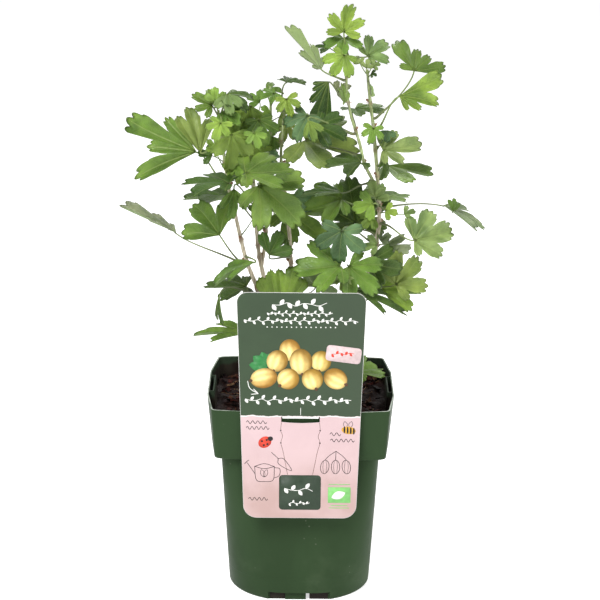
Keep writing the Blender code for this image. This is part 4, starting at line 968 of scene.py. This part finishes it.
def leafMaterial(name, underside):
    # main veins along the lobes' axes, side veins that slant off them, and a fine net between
    material, shader, where = newMaterial(name, 0.45, 0.15 if underside else 0.46)
    tint = tintOf(where)
    along, aside, _ = axesOf(node(where.id_data, "TexCoord").outputs["UV"])
    width = calc("MULTIPLY_ADD", along, -0.010, 0.016)
    mainVein = between(calc("DIVIDE", aside, width), 1.3, 0.5)
    order = calc("DIVIDE", calc("MULTIPLY_ADD", aside, -0.95, along), 0.135)
    beat = calc("ABSOLUTE", calc("SUBTRACT", calc("FRACT", order), 0.5))
    sideVein = times(between(beat, 0.06, 0.0), between(aside, 0.34, 0.05))
    veins = calc("MAXIMUM", mainVein, times(sideVein, 0.6))
    net = between(cells(where, 420.0, "DISTANCE_TO_EDGE"), 0.10, 0.0)
    mottleAndFoldHighlight, grain = noise(where, 90.0), noise(where, 700.0, 2.0)
    if underside:
        colour = mixed(between(mottleAndFoldHighlight, 0.3, 0.7, 0.0, 0.35), mixed(0.50, tint, leafLook["under"]), (0.22, 0.32, 0.13))
        colour = mixed(times(veins, 0.55), colour, leafLook["underVein"])
        colour = mixed(times(net, 0.15), colour, (0.36, 0.43, 0.26))
        height = plus(veins, times(net, 0.3))
        rough, strength = between(grain, 0.3, 0.7, 0.62, 0.80), 0.5
    else:
        # on the upper face the mottle is partly the leaf's own mottling and partly a painted highlight on its folds,
        # and the broad patches are painted highlight and shade on the puckered blade
        colour = tintedBy(where, passage(mottleAndFoldHighlight, 0.25, 0.75, (0.72, 0.75, 0.70), (1.24, 1.21, 1.16)))
        paintedLightPatches = passage(noise(where, 34.0, 2.0), 0.36, 0.64, (0.70, 0.75, 0.74), (1.42, 1.34, 1.42))
        colour = mixed(1.0, colour, paintedLightPatches, "MULTIPLY")
        pale = mixed(0.45, tint, leafLook["vein"])
        colour = mixed(times(net, 0.16), mixed(times(veins, 0.60), colour, pale), pale)
        height = calc("SUBTRACT", times(grain, 0.15), plus(veins, times(net, 0.35)))
        rough, strength = between(grain, 0.25, 0.75, 0.34, 0.52), 0.6
    wire(shader, colour, rough, height, strength, 0.0013)
    tree = where.id_data
    through = node(tree, "BsdfTranslucent", {"Color": mixed(0.5, colour, leafLook["through"])})
    both = node(tree, "MixShader", {0: 0.24, 1: shader.outputs[0], 2: through.outputs[0]})
    tree.links.new(both.outputs[0], tree.nodes["Material Output"].inputs["Surface"])
    return material


def petioleMaterial():
    material, shader, where = newMaterial("leafStalk", 0.5, 0.4)
    streak = noise(where, 260.0)
    colour = tintedBy(where, passage(streak, 0.3, 0.7, (0.8, 0.8, 0.8), (1.25, 1.2, 1.2)))
    wire(shader, colour, between(streak, 0.3, 0.7, 0.4, 0.6), streak, 0.2, 0.0003)
    return material


# little leaves without a node of their own: stem and height of the foot, then a leaf as above
youngLeaves = (
    ("cane_left", 372, ((-76, 378, -4), 168, 13, 0, 25, 10, "young", "dark")),
    ("cane_left", 366, ((-74, 384, -16), 130, 10, 20, 20, 10, "young", "mid")),
    ("cane_left", 402, ((-57, 411, -10), 268, 20, 0, 15, 15, "star", "fresh")),
    ("cane_left", 360, ((-58, 372, -30), 300, 17, 0, 25, 15, "star", "bright")),
    ("cane_left", 356, ((-52, 356, -12), 8, 12, 0, 60, 10, "young", "dark")),
    ("cane_middle_left", 388, ((-34, 396, 30), 280, 22, 10, 15, 15, "plain", "mid")),
    ("cane_middle_left", 392, ((-50, 400, 30), 215, 18, 0, 20, 15, "star", "fresh")),
    ("cane_middle_left", 404, ((-36, 424, 20), 150, 14, 0, 30, 10, "young", "mid")),
    ("cane_middle_left", 362, ((-33, 380, -4), 300, 17, 0, 30, 15, "young", "blue")),
    ("cane_middle_left", 380, ((-41, 398, -28), 290, 15, 0, 20, 15, "star", "fresh")),
    ("shoot_middle", 420, ((-24, 431, 8), 200, 15, 0, 60, 10, "star", "mid")),
    ("shoot_middle", 408, ((-20, 412, 22), 340, 12, 0, 30, 10, "young", "olive")),
    ("cane_middle", 392, ((-13, 405, 20), 250, 17, 0, 20, 10, "plain", "olive")),
    ("cane_middle", 386, ((-25, 395, 14), 255, 16, 0, 20, 10, "young", "mid")),
    ("cane_left", 309, ((-40, 328, -10), 70, 12, 0, 30, 10, "young", "mid")),
    ("cane_middle", 305, ((-12, 306, -6), 205, 13, 0, 30, 10, "young", "dark")),
    ("cane_right", 392, ((59, 403, -2), 262, 16, 0, 15, 12, "star", "bright")),
    ("cane_right", 384, ((71, 401, 4), 265, 11, 0, 15, 10, "young", "blue")),
    ("cane_right", 366, ((68, 379, 4), 268, 20, 62, 10, 10, "narrow", "dark")),
    ("cane_right", 348, ((62, 342, -4), 60, 16, 0, 20, 10, "young", "light")),
    ("cane_right", 330, ((86, 329, -8), 12, 11, 0, 40, 8, "young", "light")),
    (None, 0, ((127, 330, 6), 78, 14, 0, 20, 8, "blunt", "mid")),
    ("cane_right", 312, ((64, 302, -2), 190, 14, 0, 20, 12, "young", "light")),
    ("cane_right", 310, ((66, 306, 6), 30, 11, 0, 25, 10, "young", "grey")),
    ("cane_right", 262, ((36, 275, -40), 270, 15, 0, 15, 12, "young", "light")),
    ("cane_right", 446, ((56, 449, 0), 340, 6, 0, 30, 10, "young", "dark")),
    ("cane_right", 449, ((57, 455, -2), 20, 8, 0, 25, 10, "young", "light")),
    ("cane_right", 448, ((47, 457, -2), 120, 8, 0, 25, 10, "young", "light")),
    ("shoot_right", 458, ((22, 470, 4), 176, 15, 0, 70, 10, "young", "dark")),
)


def makeYoungLeaves(materials):
    parts = []
    for number, (stem, height, leaf) in enumerate(youngLeaves):
        random = np.random.default_rng(leafLook["youngSeed"] + number)
        base = seenAt([leaf[0]])[0]
        parts.append(bladePart(leaf, base, random))
        if stem is None:  # this one sits on another leaf's stalk
            continue
        centre, radius = stemAt(stem, height)
        heading = unit((base - centre) * (1.0, 1.0, 0.0))
        path = petiolePath(centre + heading * radius * 0.6, base, leaf)
        tone = 0.5 * np.array(leafTones[leaf[-1]]) + 0.5 * np.array(leafLook["stalk"])
        parts.append(tubePart(path, 0.4 + 0.3 * np.linspace(1, 0, len(path)) ** 4, 6, tone, 2))
    addPiece("young_leaves", parts, materials, sharp=180)


def stalkPart(start, foot, base, leaf):
    # a tube from inside the stem to the blade, thicker at its foot, that turns from the stalk's tone to the leaf's
    path = np.concatenate([[start], petiolePath(foot, base, leaf)])
    size = leafLook["petiole"] * (0.75 if leaf[2] < leafLook["small"] else 1.0)
    radii = np.concatenate([[2.1 * size], size * (1.0 + 0.9 * np.linspace(1, 0, len(path) - 1) ** 4)])
    low = np.array(leafLook["stalk"])
    green = 0.5 * low + 0.5 * np.maximum(np.array(leafTones[leaf[-1]]), 0.5 * low)
    share = np.linspace(0, 1, len(path))[:, None]
    return tubePart(path, radii, 7, low * (1 - share) + green * share, 2)


def makeFoliage():
    # each leaf is a blade and a stalk, and the leaves of one piece share the spot where they leave the stem
    materials = [leafMaterial("leafUpperFace", False), leafMaterial("leafUnderside", True), petioleMaterial()]
    for number, (name, stem, height, *leaves) in enumerate(foliage):
        random = np.random.default_rng(leafLook["seed"] + number)
        centre, radius = stemAt(stem, height)
        bases = seenAt([leaf[0] for leaf in leaves])
        heading = unit((bases.mean(axis=0) - centre) * (1.0, 1.0, 0.0))
        standOff = leafLook["bud"] + 0.6 if len(leaves) > 1 else 2 * leafLook["petiole"]
        foot = centre + heading * (radius + leafLook["gap"] + standOff)
        parts = []
        for leaf, base in zip(leaves, bases):
            parts.append(bladePart(leaf, base, random))
            parts.append(stalkPart(centre + heading * radius * 0.4, foot, base, leaf))
        addPiece(name + "_blades", parts, materials, [name], sharp=180)
    makeYoungLeaves(materials)


makeFoliage()
print("leaves made")


card = {"topZ": 282.0, "footZ": 85.0, "topWidth": 106.0, "footWidth": 95.0, "topCorner": 8.5, "footCorner": 11.5,
        "thickness": 0.6, "frontY": -81.6, "bevel": 0.35, "bevelDepth": 0.18, "slotWidth": 32.0,
        "slotZ": (169.5, 174.5), "slotSag": (0.9, 0.7), "tongueWidth": 30.0, "tongueFootZ": 145.0,
        "tongueHalf": 0.28, "tearZ": 175.5, "sage": (0.034, 0.057, 0.029), "paintedSheen": (0.045, 0.066, 0.040),
        "pink": (0.558, 0.407, 0.420), "lowPink": (0.450, 0.309, 0.287), "palePink": (0.66, 0.50, 0.51),
        "lip": (0.74, 0.66, 0.66), "edge": (0.56, 0.55, 0.53), "back": (0.80, 0.79, 0.77)}


def roundedOutline(middles, radii, steps):
    # quarter circles about four middles, anticlockwise from the lower right, joined by straight lines
    rows = []
    for index, ((x, z), radius) in enumerate(zip(middles, radii)):
        turn = np.radians(90 * index - 90 + np.linspace(0, 90, steps))
        rows.append(np.column_stack([x + radius * np.cos(turn), z + radius * np.sin(turn)]))
    return np.concatenate(rows)


def cardOutline(inset=0.0):
    # a trapezoid, wider at the top, with its four corners rounded
    low, high = card["footCorner"], card["topCorner"]
    lowX, highX = card["footWidth"] / 2 - low, card["topWidth"] / 2 - high
    lowZ, highZ = card["footZ"] + low, card["topZ"] - high
    middles = ((lowX, lowZ), (highX, highZ), (-highX, highZ), (-lowX, lowZ))
    return roundedOutline(middles, np.array((low, high, high, low)) - inset, 13)


def slabPart(levels, slot=0, colour=(1, 1, 1)):
    # flat outlines in x and z, each with its depth, joined round their edges and closed at the first and the last
    count = len(levels[0][0])
    points = [np.column_stack([ring[:, 0], np.full(count, depth), ring[:, 1]]) for ring, depth in levels]
    step = np.arange(count)
    back = step + (len(levels) - 1) * count
    faces = [step[None], back[::-1][None], ringFaces(len(levels), count)[:, ::-1]]
    return part(np.concatenate(points), faces, colour, slot=slot)


def cardMaterial():
    # sage above and pink below a ragged tear with a pale lip; the sage lightens towards the right with a painted sheen
    material, shader, where = newMaterial("printedCard", 0.42, 0.25)
    x, _, z = axesOf(where)
    flatX = node(where.id_data, "CombineXYZ", {0: x}).outputs[0]
    tear = plus(times(noise(flatX, 60.0), 0.0050), times(noise(where, 900.0, 2.0), 0.0007))
    above = calc("SUBTRACT", z, plus(tear, card["tearZ"] * mm - 0.0028))
    green = between(above, 0.0, 0.00025)
    lip = times(between(above, -0.0011, -0.0006), calc("SUBTRACT", 1.0, green))
    cloud = noise(where, 30.0)
    sage = passage(cloud, 0.3, 0.7, card["sage"], [c * 1.18 for c in card["sage"]])
    sage = mixed(between(x, -0.02, 0.056, 0.0, 0.5), sage, card["paintedSheen"])
    pink = passage(z, 0.165, 0.095, card["pink"], card["lowPink"])
    pink = mixed(between(cloud, 0.35, 0.7, 0.0, 0.35), pink, card["palePink"])
    colour = mixed(lip, mixed(green, pink, sage), card["lip"])
    wire(shader, colour, between(cloud, 0.3, 0.7, 0.32, 0.46), noise(where, 1500.0, 2.0), 0.06, 0.0002)
    return material


def plainMaterial(name, colour):  # one colour with faint unevenness in it
    material, shader, where = newMaterial(name, 0.5, 0.4)
    cloud = noise(where, 140.0, 4.0)
    wire(shader, passage(cloud, 0.35, 0.65, colour, [c * 0.86 for c in colour]), between(cloud, 0.3, 0.7, 0.45, 0.57))
    return material


def makeSheet(back, edge, white):
    inner, outer, front = cardOutline(card["bevel"]), cardOutline(), card["frontY"]
    sheet = slabPart(((inner, front), (outer, front + card["bevelDepth"]), (outer, back)),
                     [[0], [2], np.full(2 * len(outer), 1)])
    piece = addPiece("label_card_sheet", [sheet], [cardMaterial(), edge, white], ["label_card"],
                     smooth=False)
    half, t = card["slotWidth"] / 2, np.linspace(-1, 1, 15)
    lower, upper = (np.column_stack([half * t, z + sag * t ** 2]) for z, sag in zip(card["slotZ"], card["slotSag"]))
    slot = np.concatenate([lower, upper[::-1]])
    cutByShape(piece, addPiece("slot_cut", [slabPart(((slot, front - 2), (slot, back + 2)))], [edge], smooth=False))
    piece.data.shade_flat()


def makeTongue(back, white):
    # a strip from the slot's upper edge over the rim and down inside the pocket
    half, over, thin = card["tongueWidth"] / 2, pot["rimZ"] + 0.7, card["tongueHalf"]
    top, foot = (-(collarOut(z) - pot["wall"] - pot["pocketGap"] / 2) for z in (pot["rimZ"], card["tongueFootZ"]))
    path = splinePath([(back - 0.2, card["slotZ"][1] - 1.0, 0), (back + 0.35, over - 0.9, 0),
                       (back + 1.3, over + 0.35, 0), (top - 1.2, over + 0.35, 0), (top, over - 1.4, 0),
                       (foot, card["tongueFootZ"], 0)], 40)
    slope = unit(np.gradient(path, axis=0))[:, :2] @ np.array([[0, 1], [-1, 0]])
    rows = [np.column_stack([np.full(len(path), x), path[:, :2] + side * thin * slope])
            for x, side in ((-half, -1), (half, -1), (half, 1), (-half, 1))]
    strip = np.stack(rows, axis=1).reshape(-1, 3)
    strip = np.concatenate([strip, strip[:4].mean(axis=0)[None], strip[-4:].mean(axis=0)[None]])
    addPiece("label_card_tongue", [part(strip, capped(len(path), 4))], [white])


def makeCard():
    back = card["frontY"] + card["thickness"]
    edge, white = plainMaterial("cardEdge", card["edge"]), plainMaterial("cardBack", card["back"])
    makeSheet(back, edge, white)
    makeTongue(back, white)


makeCard()
print("label card made")


# the card's print is made-up garden motifs in thin ink, a hair proud of the card: each tone is a colour, and a
# shape's lift counts the hairs that it stands proud by
ink = {"stroke": 0.28, "lift": 0.07, "sunk": 0.01, "berryLift": 1.4, "berryStep": 0.25, "white": (0.82, 0.82, 0.78),
       "black": (0.020, 0.018, 0.018), "red": (0.62, 0.055, 0.030), "leafGreen": (0.040, 0.21, 0.060),
       "palePatch": (0.22, 0.55, 0.17), "amber": (0.66, 0.36, 0.050), "cream": (0.90, 0.76, 0.32),
       "brown": (0.10, 0.050, 0.025), "badge": (0.66, 0.52, 0.52), "darkBox": (0.034, 0.055, 0.034)}


def line(points, width, tone):
    # a flattened round stroke along points in x and z on the card's face
    path = np.array([(x, 0.0, z) for x, z in points], float)
    stroke = tubePart(splinePath(path, 5 * len(path)) if len(path) > 2 else path, width, 6, ink[tone])
    stroke["points"][:, 1] = card["frontY"] - ink["lift"] * (0.6 + 0.4 * stroke["points"][:, 1] / width)
    return stroke


def loop(edge, width):  # a black stroke round a closed outline
    return line(np.concatenate([edge, edge[:1]]), width, "black")


def patch(outline, tone, lift=1.0):
    # a flat printed shape with its edge in x and z
    front = card["frontY"] - ink["lift"] * lift
    return slabPart(((outline, front), (outline, card["frontY"] - ink["sunk"])), colour=ink[tone])


def lifted(parts, lift):  # the same parts, further proud of the card
    for shape in parts:
        shape["points"][:, 1] -= ink["lift"] * lift
    return parts


def turned(flat, turn, x, z):  # flat points turned by turn degrees about the origin, then moved to x and z
    c, s = math.cos(math.radians(turn)), math.sin(math.radians(turn))
    return flat @ np.array([[c, s], [-s, c]]) + (x, z)


def oval(x, z, across, high, turn=0.0):  # an ellipse of twenty points
    t = np.radians(np.arange(0, 360, 18))
    return turned(np.column_stack([across * np.cos(t), high * np.sin(t)]), turn, x, z)


def leafShape(x, z, reach, turn, plump=0.30):
    # a pointed leaf: two sine arcs between its ends
    t = np.linspace(0, 1, 9)
    side = plump * reach * np.sin(np.pi * t) ** 0.8
    flat = np.concatenate([np.column_stack([reach * t, -side]), np.column_stack([reach * t, side])[-2:0:-1]])
    return turned(flat, turn, x, z)


def roundedBox(x, z, wide, high, corner, turn=0.0):  # a rectangle with quarter circles for corners
    a, b = wide / 2 - corner, high / 2 - corner
    return turned(roundedOutline(((a, -b), (a, b), (-a, b), (-a, -b)), [corner] * 4, 7), turn, x, z)


def garland(x0, x1, z, size, tone):
    # a wavy stem from x0 to x1 with little leaves to both sides
    xs = np.arange(x0, x1 + 0.1, size * 1.1)
    rise = 0.25 * size * np.sin(xs * 2.2 / size)
    parts = [line(np.column_stack([xs, z + rise]), ink["stroke"] * 0.9, tone)]
    for number, (x, up) in enumerate(zip(xs[:-1], rise)):
        parts.append(patch(leafShape(x, z + up, size, 55 if number % 2 else -55), tone))
    return parts


def berry(x, z, across, high, turn, number):
    # a round disc of rings; its tint is cream at the upper left, amber to the rim, with paler meridian stripes, and
    # a brown tip stands at its end
    rings, steps = 9, 36
    t = np.radians(np.arange(steps) * 360 / steps)
    r = np.linspace(0, 1, rings + 1)[1:, None]
    u, v = r * np.cos(t), r * np.sin(t)
    flat = turned(np.stack([across * u, high * v], axis=-1).reshape(-1, 2), turn, x, z)
    meridian = np.arcsin(np.clip(v / np.sqrt(np.maximum(1 - u ** 2, 0.05)), -1, 1))
    stripe = 0.5 + 0.5 * np.cos(9 * meridian)
    glow = np.clip(1 - ((u + 0.3) ** 2 + (v - 0.35) ** 2) / 1.3, 0, 1)
    shade = (0.45 + 0.55 * glow + 0.18 * stripe * (1 - r ** 2)) * (1 - 0.35 * r ** 6)
    warm = np.array(ink["amber"]) * np.random.default_rng(number).uniform(0.9, 1.1, 3)
    mix = np.clip(0.62 * glow + 0.42 * stripe * glow, 0, 1)[..., None]
    colour = ((warm * (1 - mix) + np.array(ink["cream"]) * mix) * shade[..., None]).reshape(-1, 3)
    lift = ink["berryLift"] + ink["berryStep"] * number
    front = np.column_stack([flat[:, 0], np.full(len(flat), card["frontY"] - ink["lift"] * lift), flat[:, 1]])
    behind = card["frontY"] - ink["sunk"]
    back = front[-steps:] * (1, 0, 1) + (0, behind, 0)
    points = np.concatenate([front, back, [(x, front[0, 1], z)], [(x, behind, z)]])
    # the front's rings run outwards, so each face is turned round
    faces = [group[:, ::-1] for group in capped(rings + 1, steps)]
    colour = np.concatenate([colour, colour[-steps:], [ink["cream"]], [ink["amber"]]])
    start = turned(np.array([[1.8 - across, 0.0]]), turn, x, z)[0]
    tip = patch(leafShape(*start, 3.4, turn + 180, 0.42), "brown", lift + 0.15)
    return [part(points, faces, colour), tip]


def inkMaterial():
    material, shader, where = newMaterial("printingInk", 0.42, 0.25)
    cloud = noise(where, 260.0, 4.0)
    colour = tintedBy(where, passage(cloud, 0.3, 0.7, (0.9, 0.9, 0.9), (1.08, 1.08, 1.08)))
    wire(shader, colour, between(cloud, 0.3, 0.7, 0.36, 0.5))
    return material


def upperPrint():
    # white sprigs and dots, a heap of berries with a leaf, an arrow, and a pink badge with a red sprig
    parts = []
    for x, z, size in ((24, 272.0, 5.8), (28, 264.2, 2.7), (47, 258.0, 3.4), (46, 189.5, 4.2)):
        parts += garland(-x, x, z, size, "white")
    parts += [patch(oval(x, 252.6, 0.55, 0.55), "white") for x in np.arange(-28, 28.1, 4)]
    # each berry further forward than the one before: place, half length, half breadth and turn
    heap = ((-9.2, 233.0, 9.4, 8.6, 100), (16.5, 223.5, 9.0, 8.4, 80), (-19.5, 223.5, 9.4, 8.8, 70),
            (0.0, 223.0, 11.2, 9.4, 95), (-30.5, 208.5, 11.2, 8.6, 12), (-10.4, 208.0, 9.2, 9.0, 40),
            (28.5, 208.5, 10.2, 8.8, 150), (9.6, 208.0, 9.2, 8.8, 110))
    for number, place in enumerate(heap):
        parts += berry(*place, number)
    for index, (reach, turn) in enumerate(((13, 75), (14, 108), (15, 140), (15, 172), (11, 205))):
        parts.append(patch(leafShape(-28, 218, reach, turn, 0.31), "leafGreen", 0.8 + 0.16 * index))
    arrow = ([(-44, 206), (-42, 199.5), (-35, 195)], [(-39, 199), (-35, 195)], [(-41, 194.4), (-35, 195)])
    parts += [line(path, 0.32, "white") for path in arrow]
    parts.append(patch(roundedBox(35.0, 229.5, 29, 13.5, 3.0, -7), "badge", 3.6))
    return parts + lifted(garland(25, 46, 230.2, 3.4, "red"), 3.0)


def tongueLines():
    # the score line above the slot and the cut outline of the tongue
    parts = [line([(0, 176.5), (0, 183)], 0.22, "white")]
    outline = np.array([(15.8, 170), (16.4, 163), (14.8, 158), (16.2, 152), (14.2, 144), (12.2, 133), (10.5, 124)])
    for side in (-1, 1):
        parts.append(line(outline * (side, 1), 0.16, "brown"))
        parts += [patch(oval(side * x, z, 0.7, 0.5), "black") for x, z in ((16.4, 163), (16.3, 152))]
    return parts


def lowerPrint():
    # wavy strokes for words, a beetle, a bee, a can with a trowel and three hanging berries in thin outline
    thin, fine = ink["stroke"] * 0.85, ink["stroke"] * 0.7
    parts = []
    for x, z, length, waves in ((-45, 170, 17, 4), (-45, 165, 19, 5), (24.5, 160, 9, 2), (25, 154.5, 20, 5),
                                (-43, 102, 16, 4)):
        t = np.linspace(0, 1, 6 * waves + 1)
        word = np.column_stack([x + length * t, z + 1.3 * np.sin(2 * math.pi * waves * t)])
        parts.append(line(word, 0.26, "black"))
    parts.append(patch(oval(-29.5, 152.5, 5.8, 4.8, 35), "red"))
    parts.append(patch(oval(-25.0, 155.6, 2.2, 2.0), "black", 1.4))
    spots = ((-32, 153.4), (-30.4, 149.8), (-28, 154.4), (-27.4, 150.8))
    parts += [patch(oval(x, z, 0.9, 0.9), "black", 1.5) for x, z in spots]
    parts.append(line([(-33.9, 149.4), (-25.6, 155.2)], 0.2, "black"))
    parts.append(patch(oval(40, 163.5, 6.0, 3.3, -8), "amber"))
    parts += [patch(oval(x, 163.5 - 0.14 * (x - 40), 0.8, 3.0), "black", 1.4) for x in (36.6, 39.2, 41.8, 44.4)]
    for x, z, reach, turn, plump in ((38, 166, 5.4, 105, 0.3), (41, 166, 5.4, 75, 0.3), (-30, 121.5, 7, 70, 0.25),
                                     (-30, 121.5, 7, 110, 0.25)):
        parts.append(loop(leafShape(x, z, reach, turn, plump), fine))
    can = ([(-38, 131), (-36.5, 119), (-30, 117.6), (-22.5, 119), (-21.5, 131)],
           [(-38, 131), (-30, 133.4), (-21.5, 131)], [(-38, 131), (-30, 129), (-21.5, 131)],
           [(-37.4, 124), (-42, 131), (-44.5, 134.5)], [(-46.5, 133), (-44.6, 135.2), (-42.8, 136.6)],
           [(-21.6, 130), (-17, 129), (-17.4, 123), (-22.2, 120.5)])
    trowel = ([(-24, 143.6), (-18.4, 138.2)],
              [(-18.4, 138.2), (-13.5, 137.6), (-7, 127.4), (-17.6, 133), (-18.4, 138.2)])
    parts += [line(path, thin, "black") for path in can + trowel]
    for x, turn in ((20.6, -8), (29.6, 0), (38.6, 8)):
        parts.append(loop(oval(x, 131, 3.5, 6.0, turn), thin))
        parts.append(line([(x, 137.2), (x * 0.6 + 11.9, 141), (29.8, 145)], thin, "black"))
        for side in (-1, 1):
            rib = [(x + side, 136.4), (x + 1.6 * side, 131), (x + side, 125.6)]
            parts.append(line(rib, ink["stroke"] * 0.5, "black"))
    # dark box with a white sprig, and a pale green patch with a white leaf between faint strokes
    parts.append(patch(roundedBox(0, 108, 35, 31, 3.0), "darkBox"))
    parts += lifted(garland(-13, 13, 110.5, 5.4, "white") + garland(-9, 9, 98.5, 2.6, "white"), 1.0)
    parts.append(patch(roundedBox(33, 106, 19, 14, 0.6), "palePatch"))
    parts.append(patch(leafShape(26.5, 103.5, 12.5, 22, 0.28), "white", 1.7))
    return parts + [line([(x, z), (66 - x, z)], 0.32, "palePatch") for x, z in ((24, 115.4), (26, 96.6), (24.5, 94.4))]


def makePrint():
    parts = upperPrint() + tongueLines() + lowerPrint()
    addPiece("label_card_print", parts, [inkMaterial()], smooth=False)


makePrint()
print("print made")
